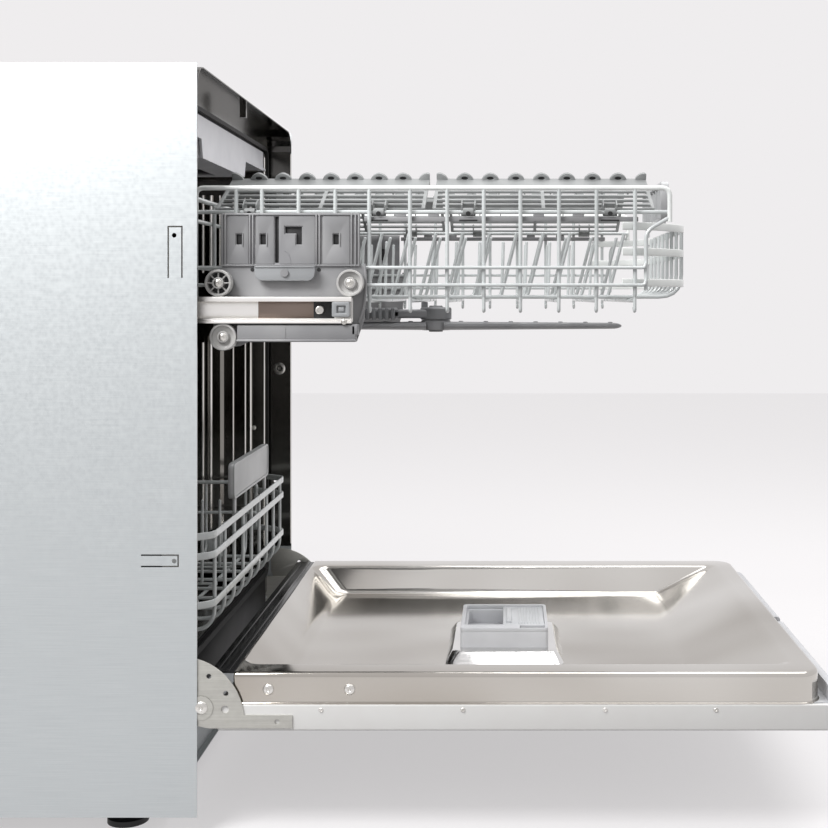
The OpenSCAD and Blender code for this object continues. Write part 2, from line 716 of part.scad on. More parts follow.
module dispenser_housing() color("lightgray") {
    x1 = disp_x0 + dispenser_w;
    f1 = disp_f0 + dispenser_l;
    difference() {
        union() {
            hull() {
                upward(recess_z, recess_z + 2)
                    polygon(rounded(disp_x0 - 30, disp_f0 - 17, x1 + 30, f1 + 18, 14));
                upward(disp_z0 - 1, disp_z0) polygon(rounded(disp_x0 - 10, disp_f0 - 8, x1 + 10, f1 + 8, 10));
            }
            upward(disp_z0 - 1, disp_z1) polygon(rounded(disp_x0, disp_f0, x1, f1, 4));
        }
        // detergent chamber
        block(disp_x0 + 26, x1 - 12, disp_f0 + 8, disp_f0 + 8 + lid_travel, disp_z0 - 8, disp_z1 + 1);
        // channel that the lid slides in
        block(disp_x0 + 18, x1 - 6, disp_f0 + 5, f1 - 4, disp_z1 - 5, disp_z1 + 1);
        // seat of the rinse aid cap
        block(disp_x0 + 2, disp_x0 + 15, f1 - 34, f1 - 4, disp_z1 - 6, disp_z1 + 1);
    }
    // pin that the rinse aid cap turns on
    pin_x(rinse_f, rinse_z, disp_x0 + 1, disp_x0 + 16, rinse_pin_r);
}

module detergent_lid() color("gainsboro") {
    x0 = disp_x0 + 18 + gap;
    x1 = disp_x0 + dispenser_w - 6 - gap;
    f1 = disp_f0 + dispenser_l - 4 - gap;
    f0 = f1 - (dispenser_l - 9 - lid_travel - 2 * gap);
    block(x0, x1, f0, f1, disp_z1 - 5 + gap, disp_z1 - 1.5);
    block(x0 + 14, x1 - 14, f0 + 4, f0 + 10, disp_z1 - 2, disp_z1 + 0.6);
}

module rinse_cap() color("dimgray") {
    x0 = disp_x0 + 2 + gap;
    x1 = disp_x0 + 15 - gap;
    difference() {
        union() {
            block(x0, x1, rinse_f - 27, rinse_f, rinse_z - rinse_r, rinse_z + rinse_r);
            pin_x(rinse_f, rinse_z, x0, x1, rinse_r);
            block(x0 + 3, x1 - 3, rinse_f - 25, rinse_f - 21, rinse_z, rinse_z + rinse_r + 1.2);
        }
        pin_x(rinse_f, rinse_z, x0 - 1, x1 + 1, rinse_pin_r + running);
    }
}

module door_latch() color("dimgray") {
    difference() {
        union() {
            pin_x(latch_f, latch_z + 2, 5, 10, 4.5);
            block(5, 10, latch_f - 5, latch_f + 2, latch_z - 1, latch_z + 5);
        }
        pin_x(latch_f, latch_z + 2, 4, 11, latch_pin_r + running);
    }
}

module button(i) color("darkgray")
    translate([-150 + 40 * i, 0, 0]) {
        pin_f(0, pivot_z - 12, front_f - 6 + 1.6, front_f + button_proud, button_r);
    }

module button_power() button(0);

module button_program() button(1);

module button_start() button(2);

// telescopic rails

module upper_rails() color("lightgray") both_sides()
    along(rail_out - rail_l, rail_out) polygon([
        [rail_x0, rail_z0], [rail_x1, rail_z0], [rail_x1, rail_z0 + rail_lip],
        [rail_x1 - rail_t, rail_z0 + rail_lip],
        [rail_x1 - rail_t, rail_z0 + rail_t], [rail_x0 + rail_t, rail_z0 + rail_t],
        [rail_x0 + rail_t, rail_z1 - rail_t], [rail_x1 - rail_t, rail_z1 - rail_t],
        [rail_x1 - rail_t, rail_z1 - rail_lip], [rail_x1, rail_z1 - rail_lip], [rail_x1, rail_z1],
        [rail_x0, rail_z1]]);

module rail_end_caps() color("gray") both_sides() {
    x0 = rail_x0 + rail_t;
    z0 = rail_z0 + 7;
    z1 = rail_z1 - 5.5;
    difference() {
        block(x0, rail_x1 + 0.5, rail_out - 21, rail_out - 2, z0, z1);
        block(rail_x1 - 3, rail_x1 + 1, rail_out - 16, rail_out - 6, z0 + 4, z1 - 4);
    }
    pin_x(rail_out - 35, (rail_z0 + rail_z1) / 2, x0, rail_x1 - 3, 4.5);
}

// upper rack

side_f1 = 452;
corner_f = 488;
corner_x = rack_x - 13;
straight_x = rack_x - 65;
cross_wire_f = [31, 59, 99, 139, 176, 220.5, 261, 301, 341, 383, 424, 466];

function front_band_path(x, cx, sx, f_side, f_corner, f_front) = [
    [-x, f_side], [-cx, f_corner], [-sx, f_front], [sx, f_front], [cx, f_corner], [x, f_side]];

module upper_basket() color("silver") {
    d = wire_d;
    f0 = -rack_back;
    top_f = 498;
    floor_x = rack_x - 11;
    long_z = rack_floor_z + d * 0.93;
    // hoops: down one side, across the floor, up the other side
    for (f = cross_wire_f)
        wire([[-rack_x, f, rack_top_z], [-rack_x, f, rack_floor_z + 11], [-floor_x, f, rack_floor_z],
            [floor_x, f, rack_floor_z], [rack_x, f, rack_floor_z + 11], [rack_x, f, rack_top_z]], d);
    // side wires
    both_sides() {
        wire([[-rack_x, f0, rack_top_z - 12], [-rack_x, f0 + 8, rack_top_z], [-rack_x, top_f, rack_top_z],
            [-rack_x, top_f + 6, rack_top_z - 8], [-rack_x, top_f + 6, shelf_z - 9]], top_wire_d);
        wire([[-hinge_wire_x, f0, shelf_z], [-hinge_wire_x, top_f + 6, shelf_z]], d);
        for (z = [rack_floor_z + 36, rack_floor_z + 17])
            wire([[-outer_wire_x, f0, z], [-outer_wire_x, side_f1 + 26, z]], d);
        wire([[-rack_x, f0, rack_top_z - 12], [-rack_x, f0, rack_floor_z + 11],
            [-rack_x + 11, f0, rack_floor_z]], d);
        wire([[-rack_x, top_f + 6, shelf_z - 6], [-rack_x, side_f1 + 26, shelf_z - 21],
            [-rack_x, side_f1 + 26, rack_floor_z + 11]], d);
    }
    // rear wires
    wire([[-rack_x, f0, rack_top_z - 12], [rack_x, f0, rack_top_z - 12]], top_wire_d);
    for (z = [shelf_z - 10, rack_floor_z + 36]) wire([[-rack_x, f0, z], [rack_x, f0, z]], d);
    // floor wires that turn up at the rear and at the front
    for (i = [-4:4]) {
        x = i * (straight_x - 6) / 4;
        wire([[x, f0 + d * 0.9, rack_top_z - 14], [x, f0 + d * 0.9, rack_floor_z + 14],
            [x, f0 + 14, long_z], [x, rack_out - 40, long_z],
            [x, rack_out - 14, rack_floor_z + 12], [x, rack_out - 3, rack_floor_z + 28],
            [x, rack_out - 3, rack_floor_z + 84]], d);
    }
    // flat front bands
    for (rise = [24, 58, 86])
        strip(front_band_path(rack_x + 1, corner_x, straight_x, side_f1, corner_f, rack_out),
            band_t, rack_floor_z + rise - band_h, rack_floor_z + rise);
}

// a row of tines on a rod along f, each leaning forward
module tine_row(x, f0, f1, pitch, z0, z1, lean, d) {
    wire([[x, f0 - 4, z0], [x, f1 + 8, z0]], d);
    for (f = [f0:pitch:f1]) wire([[x, f, z0], [x, f + lean, z1]], d);
}

module upper_tines() color("silver")
    for (x = [-168, -62, 62, 168])
        tine_row(x, 40, 470, 31, rack_floor_z + wire_d / 2 + tine_d / 2 + 0.2, tine_top_z,
            x < 0 ? 18 : 2, tine_d);

// pull handle: a plate with a hollow back for the fingers, on two uprights
module handle_plate(f, z0, z1, t) {
    half_w = 110;
    difference() {
        along(f - t, f) polygon(rounded(-half_w, z0, half_w, z1, 8));
        along(f - t - 1, f - 2.5) polygon(rounded(-half_w + 4, z0 + 4, half_w - 4, z1 - 4, 5));
    }
}

module upper_handle() color("darkgray") {
    z0 = rack_floor_z + 96;
    handle_plate(rack_out - 9, z0, z0 + 47, 9);
    for (x = [-90, 90]) block(x - 4, x + 4, rack_out - 13.5, rack_out - 5.5, z0 - 12, z0 + 4);
}

module rack_carriages() color("gray") both_sides() {
    x0 = carriage_x;
    x1 = carriage_x + carriage_t;
    head_z = shelf_z - 2;
    sill = rail_z1 + 31.8;
    foot_z = rail_z0 - 24.8;
    difference() {
        across(x0, x1) polygon([[18, head_z], [18, sill], [8, sill - 10], [8, foot_z], [37, foot_z],
            [50, foot_z + 6], [164, foot_z + 6], [172, foot_z + 30], [172, sill], [167, sill + 4],
            [167, head_z]]);
        // small windows of the panels, the slot between the second and third, and the third's hooked slot
        across(x0 - 1, x1 + 1) {
            for (f = [33, 59, 138]) translate([f, sill + 25]) square([6, 11]);
            translate([75, sill + 5]) square([4, head_z - sill - 9]);
            translate([98, sill + 25]) square([6, 19]);
            translate([86, sill + 37]) square([13, 7]);
        }
    }
    // upright ribs between the panels, and the frame round them
    across(x1 - 0.5, x1 + 2) {
        for (rib = [[18, 6], [47, 7], [119, 7], [157, 10]])
            translate([rib[0], sill]) square([rib[1], head_z - sill]);
        translate([18, sill]) square([149, 2.5]);
        translate([18, head_z - 2.5]) square([149, 2.5]);
    }
    // long plate clipped under the shelves' hinge wire
    plate_z = head_z - 3.2;
    across(hinge_wire_x - 1.3, hinge_wire_x + 1.3) {
        translate([170, plate_z - 5.3]) square([300, 5.3]);
        for (f = [204, 240, 355, 398]) translate([f, plate_z - 1]) square([12, 3.9]);
    }
    // lower bar that runs under the rail
    block(x1 - 0.5, wheel_x1, 37, 164, rail_z0 - 18, rail_z0 - 2);
    block(x1 - 0.5, wheel_x1, 160, 166, rail_z0 - 12, rail_z0 - 0.8);
    // axles
    for (p = [[rear_wheel_f, upper_wheel_z], [front_wheel_f, upper_wheel_z], [under_wheel_f, under_wheel_z]])
        pin_x(p[0], p[1], x1 - 1, wheel_x1 + 1, axle_r);
    // headed pin that the adjuster lever turns on
    pin_x(lever_f, lever_z, x1 - 1, lever_x1 + 1.5, lever_pin_r);
    pin_x(lever_f, lever_z, lever_x1 + gap, lever_x1 + 1.5, lever_pin_r + 2);
}

module wheel_pair(f, z, r, x0, x1) both_sides()
    difference() {
        union() {
            pin_x(f, z, x0, x1, r);
            pin_x(f, z, x1 - 1, x1 + 0.6, r * 0.4);
        }
        difference() {
            pin_x(f, z, x1 - 2.5, x1 + 1, r * 0.78);
            pin_x(f, z, x1 - 3, x1 + 2, r * 0.45);
        }
        pin_x(f, z, x0 - 1, x1 + 2, axle_r + running);
    }

module carriage_wheels_rear() color("gray")
    wheel_pair(rear_wheel_f, upper_wheel_z, rack_wheel_r, wheel_x0, wheel_x1);

module carriage_wheels_front() color("gray")
    wheel_pair(front_wheel_f, upper_wheel_z, rack_wheel_r, wheel_x0, wheel_x1);

module carriage_wheels_under() color("gray")
    wheel_pair(under_wheel_f, under_wheel_z, rack_wheel_r, wheel_x0, wheel_x1);

module adjuster_levers() color("darkgray") both_sides()
    difference() {
        across(lever_x0, lever_x1)
            polygon([for (p = [[54, 7], [120, 7], [118, -5], [114, -8.6], [60, -8.6], [56, -5]])
                [p[0], lever_z + p[1]]]);
        pin_x(lever_f, lever_z, lever_x0 - 1, lever_x1 + 1, lever_pin_r + running);
    }

module feed_duct() color("gainsboro") {
    z0 = rack_floor_z - 24;
    z1 = rack_floor_z - 11;
    block(-20, 20, -rack_back, 139, z0, z1);
    // ribbed bellows stretch
    for (f = [139:8:179]) block(-22, 22, f, f + 5, z0 - 1, z1 + 1);
    block(-17, 17, 138, arm_hub_f, z0 + 1, z1 - 1);
    pin_z(0, arm_hub_f, z0 - 1, z1 + 2, 20);
    pin_z(0, arm_hub_f, rack_floor_z - 40.4, z0, 6);
    pin_z(0, arm_hub_f, rack_floor_z - 40.4, rack_floor_z - 38.8, 9);
    for (i = [0, 2, 5]) block(-5, 5, cross_wire_f[i] - 4, cross_wire_f[i] + 4, z1 - 1,
        rack_floor_z - wire_d / 2);
}

// cup shelf: slats by the hinge, a solid field, and a free edge of raised scallops
module cup_shelf(f0, f1) {
    clip_f = [f0 + 40, f1 - 50];
    pitch = (f1 - f0 - 6) / 8;
    slat = 11;
    bar = 4;
    crown_x = 10.5;
    crown_z = 8.5;
    translate(at(-hinge_wire_x, 0, shelf_z)) rotate([0, -shelf_slope, 0])
        translate(-at(0, 0, 0)) difference() {
        union() {
            upward(-shelf_t / 2, shelf_t / 2) difference() {
                translate([8, f0]) square([shelf_d - 8, f1 - f0]);
                for (i = [0:3], span = [[f0 + 4, (f0 + f1) / 2 - 2], [(f0 + f1) / 2 + 2, f1 - 4]])
                    translate([10 + i * (slat + bar), span[0]]) square([slat, span[1] - span[0]]);
            }
            // raised crowns along the free edge, each with a hole, cut off at the shelf's ends
            across(shelf_d - 5, shelf_d) for (f = [f0 + 3:pitch:f1 - 2])
                difference() {
                    polygon([for (p = [[-crown_x, -shelf_t / 2], [crown_x, -shelf_t / 2],
                        [crown_x / 2, crown_z], [-crown_x / 2, crown_z]])
                        [min(max(f + p[0], f0), f1), p[1]]]);
                    translate([f, crown_z * 0.55]) circle(r = crown_z * 0.25, $fn = 10);
                }
            for (f = clip_f) {
                translate(at(0, f - 6, 0)) rotate([90, 0, 0]) cylinder(h = 12, r = wire_d / 2 + 2.4);
                block(3, 9, f - 6, f + 6, -shelf_t / 2, shelf_t / 2);
            }
        }
        translate(at(0, f0 - 5, 0)) rotate([90, 0, 0])
            cylinder(h = f1 - f0 + 10, r = wire_d / 2 + running);
    }
}

rear_shelf = [5, 236];
front_shelf = [244, 489];

module cup_shelf_left_front() color("silver") cup_shelf(front_shelf[0], front_shelf[1]);

module cup_shelf_left_rear() color("silver") cup_shelf(rear_shelf[0], rear_shelf[1]);

module cup_shelf_right_front() color("silver") mirror([1, 0, 0]) cup_shelf(front_shelf[0], front_shelf[1]);

module cup_shelf_right_rear() color("silver") mirror([1, 0, 0]) cup_shelf(rear_shelf[0], rear_shelf[1]);

// lower rack

module lower_basket() color("silver") {
    d = wire_d;
    hoops = 9;
    hoop_z = lower_floor_z;
    long_z = hoop_z + d * 0.93;
    rear = lower_f0;
    front = lower_f1;
    last_f = front - 62;
    top_z = lower_top_z - 14;
    for (i = [0:hoops - 1]) {
        f = rear + 6 + (last_f - rear - 6) * i / (hoops - 1);
        wire([[-lower_x, f, top_z], [-lower_x, f, hoop_z + 16], [-lower_x + 16, f, hoop_z],
            [lower_x - 16, f, hoop_z], [lower_x, f, hoop_z + 16], [lower_x, f, top_z]], d);
    }
    both_sides() {
        wire([[-lower_x + d * 0.93, rear, 250], [-lower_x + d * 0.93, front - 46, 250]], d);
        wire([[-lower_x, rear, top_z], [-lower_x, front - 46, top_z]], top_wire_d);
        wire([[-lower_x, rear, top_z], [-lower_x, rear, hoop_z + 10]], d);
        wire([[-lower_x, front - 46, top_z], [-lower_x, front - 46, 228]], d);
        // lug that carries the wheels' axles
        for (f = [rear + 70, front - 110]) {
            block(lower_x - 2, track_x0 - 1, f - 14, f + 14, lower_wheel_z - 5, hoop_z + 30);
            pin_x(f, lower_wheel_z, track_x0 - 2, tub_x - 2.5, axle_r);
        }
    }
    wire([[-lower_x, rear, top_z], [lower_x, rear, top_z]], top_wire_d);
    wire([[-lower_x, rear, 244], [lower_x, rear, 244]], d);
    for (i = [-4:4]) {
        x = i * 52;
        reach = abs(i) == 4 ? 3 : 0;
        wire([[x, rear + d * 0.9, top_z + 1], [x, rear + d * 0.9, hoop_z + 14],
            [x, rear + 14, long_z], [x, front - 26 - reach, long_z], [x, front - 10 - reach, hoop_z + 10],
            [x, front - 2.9 - reach, hoop_z + 24], [x, front - 2.9 - reach, lower_top_z - 2]], d);
    }
    for (z = [lower_top_z, lower_top_z - 22, lower_top_z - 76])
        strip(front_band_path(lower_x + 1, lower_x, lower_x - 32, front - 50, front - 42, front),
            band_t, z - 8.3, z);
}

module lower_tines() color("silver")
    for (x = [-182, -78, 26, 130])
        tine_row(x, lower_f0 + 30, lower_f1 - 60, tine_pitch,
            lower_floor_z + wire_d / 2 + tine_d / 2 + 0.2, lower_top_z - 22, 0, tine_d);

module lower_handle() color("darkgray") {
    handle_plate(lower_f1 - 1, lower_top_z + 17, lower_top_z + 60, 8);
    for (x = [-96, 96])
        block(x - 4, x + 4, lower_f1 - 8, lower_f1 - band_t / 2 - 0.1, lower_top_z - 6, lower_top_z + 22);
}

module lower_wheels_front() color("darkgray")
    wheel_pair(lower_f1 - 110, lower_wheel_z, lower_wheel_r, track_x0 + 1, tub_x - 4);

module lower_wheels_rear() color("darkgray")
    wheel_pair(lower_f0 + 70, lower_wheel_z, lower_wheel_r, track_x0 + 1, tub_x - 4);

// cutlery tray: a deep middle channel between two shallow wings, all slotted

module cutlery_tray() color("lightgray") {
    x = tub_x - tray_side_gap;
    mid = 122;
    f0 = tray_f0;
    f1 = tray_f1;
    z_wing = tray_z0;
    z_mid = tray_top_z - 49;
    t = mould_t;
    difference() {
        union() {
            along(f0, f1) polygon([[-x - 20, z_wing + 1], [-x - 20, z_wing + 4], [-x, z_wing + 4],
                [-x, tray_top_z], [-x + t, tray_top_z], [-x + t, z_wing + t], [-mid, z_wing + t],
                [-mid + t, z_mid + t], [mid - t, z_mid + t], [mid, z_wing + t], [x - t, z_wing + t],
                [x - t, tray_top_z], [x, tray_top_z], [x, z_wing + 4], [x + 20, z_wing + 4],
                [x + 20, z_wing + 1], [mid + t * 0.6, z_wing], [mid, z_mid], [-mid, z_mid],
                [-mid - t * 0.6, z_wing]]);
            along(f1 - 3, f1) polygon([[-x, z_wing], [-x, tray_top_z], [x, tray_top_z], [x, z_wing],
                [mid + 8, z_wing], [mid, z_mid], [-mid, z_mid], [-mid - 8, z_wing]]);
            along(f0, f0 + 3) polygon([[-x, z_wing], [-x, tray_top_z], [x, tray_top_z], [x, z_wing],
                [mid + 8, z_wing], [mid, z_mid], [-mid, z_mid], [-mid - 8, z_wing]]);
        }
        // drain slots
        for (i = [0:10], s = [-1, 1]) {
            f = f0 + 14 + i * (f1 - f0 - 34) / 11;
            block(s * 190 - 52, s * 190 + 52, f, f + 26, z_wing - 2, z_wing + 4);
            block(s * 56 - 44, s * 56 + 44, f, f + 26, z_mid - 2, z_mid + 4);
        }
    }
}

base_pan();
adjusting_feet();
kick_plate();
tub_shell();
tub_front_frame();
door_gasket();
side_panel_left();
side_panel_right();
rear_panel();
top_braces();
rack_tracks();
rail_glides();
sump_housing();
filter_plate();
filter_cup();
circulation_pump();
drain_pump();
water_softener();
salt_cap();
inlet_valve();
drain_spigot();
water_duct();
balance_springs();
hinge_brackets();
lower_spray_arm();
top_spray_arm();
door_liner();
door_outer_panel();
control_console();
door_bottom_seal();
hinge_plates();
dispenser_housing();
detergent_lid();
rinse_cap();
door_latch();
button_power();
button_program();
button_start();
upper_rails();
rail_end_caps();
upper_basket();
upper_tines();
upper_handle();
rack_carriages();
feed_duct();
middle_spray_arm();
adjuster_levers();
cup_shelf_left_front();
cup_shelf_left_rear();
cup_shelf_right_front();
cup_shelf_right_rear();
carriage_wheels_rear();
carriage_wheels_front();
carriage_wheels_under();
lower_basket();
lower_tines();
lower_handle();
lower_wheels_front();
lower_wheels_rear();
cutlery_tray();
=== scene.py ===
import math
import bmesh
import bpy
import numpy as np
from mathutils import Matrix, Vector


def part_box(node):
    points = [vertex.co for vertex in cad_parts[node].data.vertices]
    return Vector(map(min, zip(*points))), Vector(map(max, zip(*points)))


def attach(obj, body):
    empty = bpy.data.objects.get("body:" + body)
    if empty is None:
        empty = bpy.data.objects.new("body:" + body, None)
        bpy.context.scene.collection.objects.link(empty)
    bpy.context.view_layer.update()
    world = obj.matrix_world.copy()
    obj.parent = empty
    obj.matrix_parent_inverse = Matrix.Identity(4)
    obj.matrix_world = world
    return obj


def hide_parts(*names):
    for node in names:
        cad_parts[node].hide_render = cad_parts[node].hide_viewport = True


# An under-counter dishwasher with its door lowered and its upper rack pulled out.
# Lengths are millimetres: x across, f forward of the side panels' front edges, z up.

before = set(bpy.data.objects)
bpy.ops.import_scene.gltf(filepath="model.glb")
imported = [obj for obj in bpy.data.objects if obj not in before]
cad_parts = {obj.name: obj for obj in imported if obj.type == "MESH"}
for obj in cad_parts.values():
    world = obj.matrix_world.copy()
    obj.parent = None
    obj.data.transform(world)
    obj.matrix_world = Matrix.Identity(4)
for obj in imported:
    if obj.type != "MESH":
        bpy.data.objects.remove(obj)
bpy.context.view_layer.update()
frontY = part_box("side_panel_left")[0].y
tiny = 1e-9
sides = (-1, 1)
alongX, alongF, alongZ = (1, 0, 0), (0, 1, 0), (0, 0, 1)
print("frame loaded")


# millimetres to the frame's metres: y is frontY less f
def place(points):
    p = np.asarray(points, float) / 1000
    return np.stack([p[..., 0], frontY - p[..., 1], p[..., 2]], -1)


# each vector divided by its own length
def unit(v):
    return v / np.maximum(np.linalg.norm(v, axis=-1, keepdims=True), tiny)


# rounds every corner c of a line of points: a lies "reach" before the corner and b "reach" after
# it, and the curve is (1 - t) squared a + 2 t (1 - t) c + t squared b, t from 0 to 1. The points
# may be whole rings, which are then rounded from ring to ring.
def bend(points, reach, steps=6):
    p = np.asarray(points, float)
    corner = p[1:-1]
    reach = np.broadcast_to(np.asarray(reach, float), (len(corner),)).reshape((-1,) + (1,) * (p.ndim - 1))

    def towards(q):
        run = q - corner
        length = np.maximum(np.linalg.norm(run, axis=-1, keepdims=True), tiny)
        return corner + run / length * np.minimum(reach, length * 0.5)

    a, b = towards(p[:-2])[:, None], towards(p[2:])[:, None]
    t = np.linspace(0, 1, steps).reshape((1, steps) + (1,) * (p.ndim - 1))
    curve = (1 - t) ** 2 * a + 2 * t * (1 - t) * corner[:, None] + t ** 2 * b
    return np.concatenate([p[:1], curve.reshape((-1,) + p.shape[1:]), p[-1:]])


# a skin over a grid of points: one parameter counts the rings, the other the places round a ring,
# four neighbours make a face, and the first and last rings are filled
def loft(rings):
    count, around = rings.shape[:2]
    index = np.arange(count * around).reshape(count, around)
    onward = np.roll(index, -1, axis=1)
    faces = np.stack([index[:-1], onward[:-1], onward[1:], index[1:]], -1).reshape(-1, 4).tolist()
    faces += [index[0, ::-1].tolist(), index[-1].tolist()]
    return rings.reshape(-1, 3), faces


# a section of (across, up) points carried along a path: path point + across times side + up times
# over, where side is the path's direction crossed with "upright", and over is side crossed with it
def sweep(points, section, upright=alongZ):
    p, section = np.asarray(points, float), np.asarray(section, float)
    leg = unit(np.diff(p, axis=0))
    run = unit(np.vstack([leg[:1], leg[:-1] + leg[1:], leg[-1:]]))
    side = unit(np.cross(run, upright))
    over = np.cross(side, run)
    rings = p[:, None] + section[None, :, :1] * side[:, None] + section[None, :, 1:] * over[:, None]
    return loft(rings)


# a circle, half the diameter times cosine and sine, carried along a path
def tube(points, diameter, upright=alongZ, around=10):
    angle = np.arange(around) * 2 * math.pi / around
    return sweep(points, diameter / 2 * np.stack([np.cos(angle), np.sin(angle)], -1), upright)


# a profile of (radius, height) points turned about an axis: centre + height times the axis +
# radius times (cosine of the angle times side + sine times over)
def turned(profile, centre, axis, around=32):
    profile, axis = np.asarray(profile, float), np.asarray(axis, float)
    skew = (0.31, 0.53, 0.79)  # any direction that is no axis
    side = unit(np.cross(axis, skew))
    over = np.cross(axis, side)
    angle = np.arange(around)[:, None] * 2 * math.pi / around
    spoke = np.cos(angle) * side + np.sin(angle) * over
    rings = np.asarray(centre, float) + profile[:, 1, None, None] * axis + profile[:, 0, None, None] * spoke
    return loft(rings)


# a rectangle as a ring of points: at each corner its centre + r times (cosine, sine) over 90
# degrees, and then points spaced evenly along the side that follows
def roundedRing(x0, x1, y0, y1, radii, perCorner=6, perSide=2):
    r = np.broadcast_to(np.asarray(radii, float), (4,))
    corners = np.array([[x1 - r[0], y0 + r[0]], [x1 - r[1], y1 - r[1]],
                        [x0 + r[2], y1 - r[2]], [x0 + r[3], y0 + r[3]]])
    start = np.array([-90, 0, 90, 180])
    angle = np.radians(start[:, None] + np.linspace(0, 90, perCorner)[None])
    arcs = corners[:, None] + r[:, None, None] * np.stack([np.cos(angle), np.sin(angle)], -1)
    t = np.linspace(0, 1, perSide + 2)[1:-1, None]
    edges = arcs[:, -1, None] * (1 - t) + np.roll(arcs[:, 0], -1, axis=0)[:, None] * t
    return np.concatenate([arcs, edges], axis=1).reshape(-1, 2)


axes = {"x": (1, 2, 0), "f": (0, 2, 1), "z": (0, 1, 2)}


# puts flat points and a height along the named axis into x, f, z order
def inSpace(flat, height, axis):
    out = np.zeros(flat.shape[:-1] + (3,))
    first, second, third = axes[axis]
    out[..., first], out[..., second], out[..., third] = flat[..., 0], flat[..., 1], height
    return out


# rounded rectangles, each x from, x to, f from, f to, corner radii and z, joined into one closed
# skin that is bent from level to level
def stack(levels, bends, steps, perCorner, perSide):
    rings = [inSpace(roundedRing(*extent, perCorner, perSide), z, "z") for *extent, z in levels]
    return loft(bend(np.array(rings), bends, steps))


# a block with rounded edges: rounded rectangles along one axis, drawn in by edge times
# (1 - sine) and lifted by edge times (1 - cosine) of an angle that turns 90 degrees at both ends
def slab(low, high, edge, axis="z"):
    first, second, third = axes[axis]
    turn = np.linspace(0, math.pi / 2, 3)
    inset = edge * (1 - np.sin(turn))
    rise = edge * (1 - np.cos(turn))
    inset = np.concatenate([inset, inset[::-1]])
    height = np.concatenate([low[third] + rise, high[third] - rise[::-1]])
    rings = [inSpace(roundedRing(low[first] + i, high[first] - i, low[second] + i, high[second] - i,
                                 max(edge - i, edge * 0.05), 4, 0), h, axis)
             for i, h in zip(inset, height)]
    return loft(np.array(rings))


# a flat plate with a bevelled edge, filled between its first outline and the others, its holes
def plate(outlines, axis, low, high, edge=0.4):
    curve = bpy.data.curves.new("outline", "CURVE")
    curve.dimensions, curve.fill_mode = "2D", "BOTH"
    curve.extrude = (high - low) / 2 - edge
    curve.bevel_depth, curve.offset, curve.bevel_resolution = edge, -edge, 1
    for outline in outlines:
        outline = np.asarray(outline, float)
        spline = curve.splines.new("POLY")
        spline.points.add(len(outline) - 1)
        row = np.concatenate([outline, np.zeros((len(outline), 1)), np.ones((len(outline), 1))], 1)
        spline.points.foreach_set("co", row.ravel())
        spline.use_cyclic_u = True
    shape = bpy.data.objects.new("outline", curve)
    mesh = bpy.data.meshes.new_from_object(shape)
    work = bmesh.new()
    work.from_mesh(mesh)
    bmesh.ops.remove_doubles(work, verts=work.verts, dist=0.01)
    work.verts.ensure_lookup_table()
    flat = np.array([v.co for v in work.verts])
    faces = [[v.index for v in face.verts] for face in work.faces]
    work.free()
    bpy.data.objects.remove(shape)
    bpy.data.meshes.remove(mesh)
    return inSpace(flat[:, :2], (low + high) / 2 + flat[:, 2], axis), faces


def rectangle(x0, x1, y0, y1, r=0.0):
    return roundedRing(x0, x1, y0, y1, r, 5, 0) if r else [[x0, y0], [x1, y0], [x1, y1], [x0, y1]]


# a ring of points: the centre + r times (cosine, sine)
def circle(x, y, r, count=24):
    angle = np.arange(count) * 2 * math.pi / count
    return np.stack([x + r * np.cos(angle), y + r * np.sin(angle)], -1)


# the parts, and the same with x turned to minus x
def mirrored(parts):
    return parts + [(points * (-1, 1, 1), faces) for points, faces in parts]


# joins parts into one object that rides on a body and stands for the named nodes
def addPiece(name, parts, body, finish, nodes=(), crease=34):
    counts = np.cumsum([0] + [len(points) for points, _ in parts])
    faces = [[i + start for i in face] for (_, part), start in zip(parts, counts) for face in part]
    mesh = bpy.data.meshes.new(name)
    mesh.from_pydata(place(np.vstack([points for points, _ in parts])).tolist(), [], faces)
    work = bmesh.new()
    work.from_mesh(mesh)
    bmesh.ops.recalc_face_normals(work, faces=work.faces)
    work.to_mesh(mesh)
    work.free()
    mesh.shade_smooth()
    mesh.set_sharp_from_angle(angle=math.radians(crease))
    piece = bpy.data.objects.new(name, mesh)
    bpy.context.collection.objects.link(piece)
    material, recordSlot = materials[finish]
    mesh.materials.append(material)
    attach(piece, body)
    if nodes:
        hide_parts(*nodes)


# an sRGB hex colour as linear values
def srgb(code, alpha=1.0):
    value = np.array([int(code[i:i + 2], 16) for i in (1, 3, 5)]) / 255
    linear = np.where(value <= 0.04045, value / 12.92, ((value + 0.055) / 1.055) ** 2.4)
    return tuple(linear) + (alpha,)


# a shader node with its sockets, its own settings ("stops" are a colour ramp's) and its links
def addNode(tree, kind, settings=None, links=None):
    node = tree.nodes.new("ShaderNode" + kind)
    for key, value in (settings or {}).items():
        if isinstance(key, int) or key in node.inputs:
            node.inputs[key].default_value = value
        elif key == "stops":
            for stop, (position, colour) in zip(node.color_ramp.elements, value):
                stop.position, stop.color = position, srgb(colour)
        else:
            setattr(node, key, value)
    for key, source in (links or {}).items():
        tree.links.new(source, node.inputs[key])
    return node


def newMaterial(name):
    material = bpy.data.materials.new(name)
    material.use_nodes = True
    tree = material.node_tree
    tree.nodes.clear()
    return material, tree


# a pattern on object coordinates; "every" is its size in millimetres along x, y and z
def pattern(tree, every, kind="TexNoise", **settings):
    coordinates = addNode(tree, "TexCoord")
    scale = [1000 / size for size in every]
    mapping = addNode(tree, "Mapping", {"Scale": scale}, {"Vector": coordinates.outputs["Object"]})
    return addNode(tree, kind, {"Scale": 1.0, **settings}, {"Vector": mapping.outputs[0]})


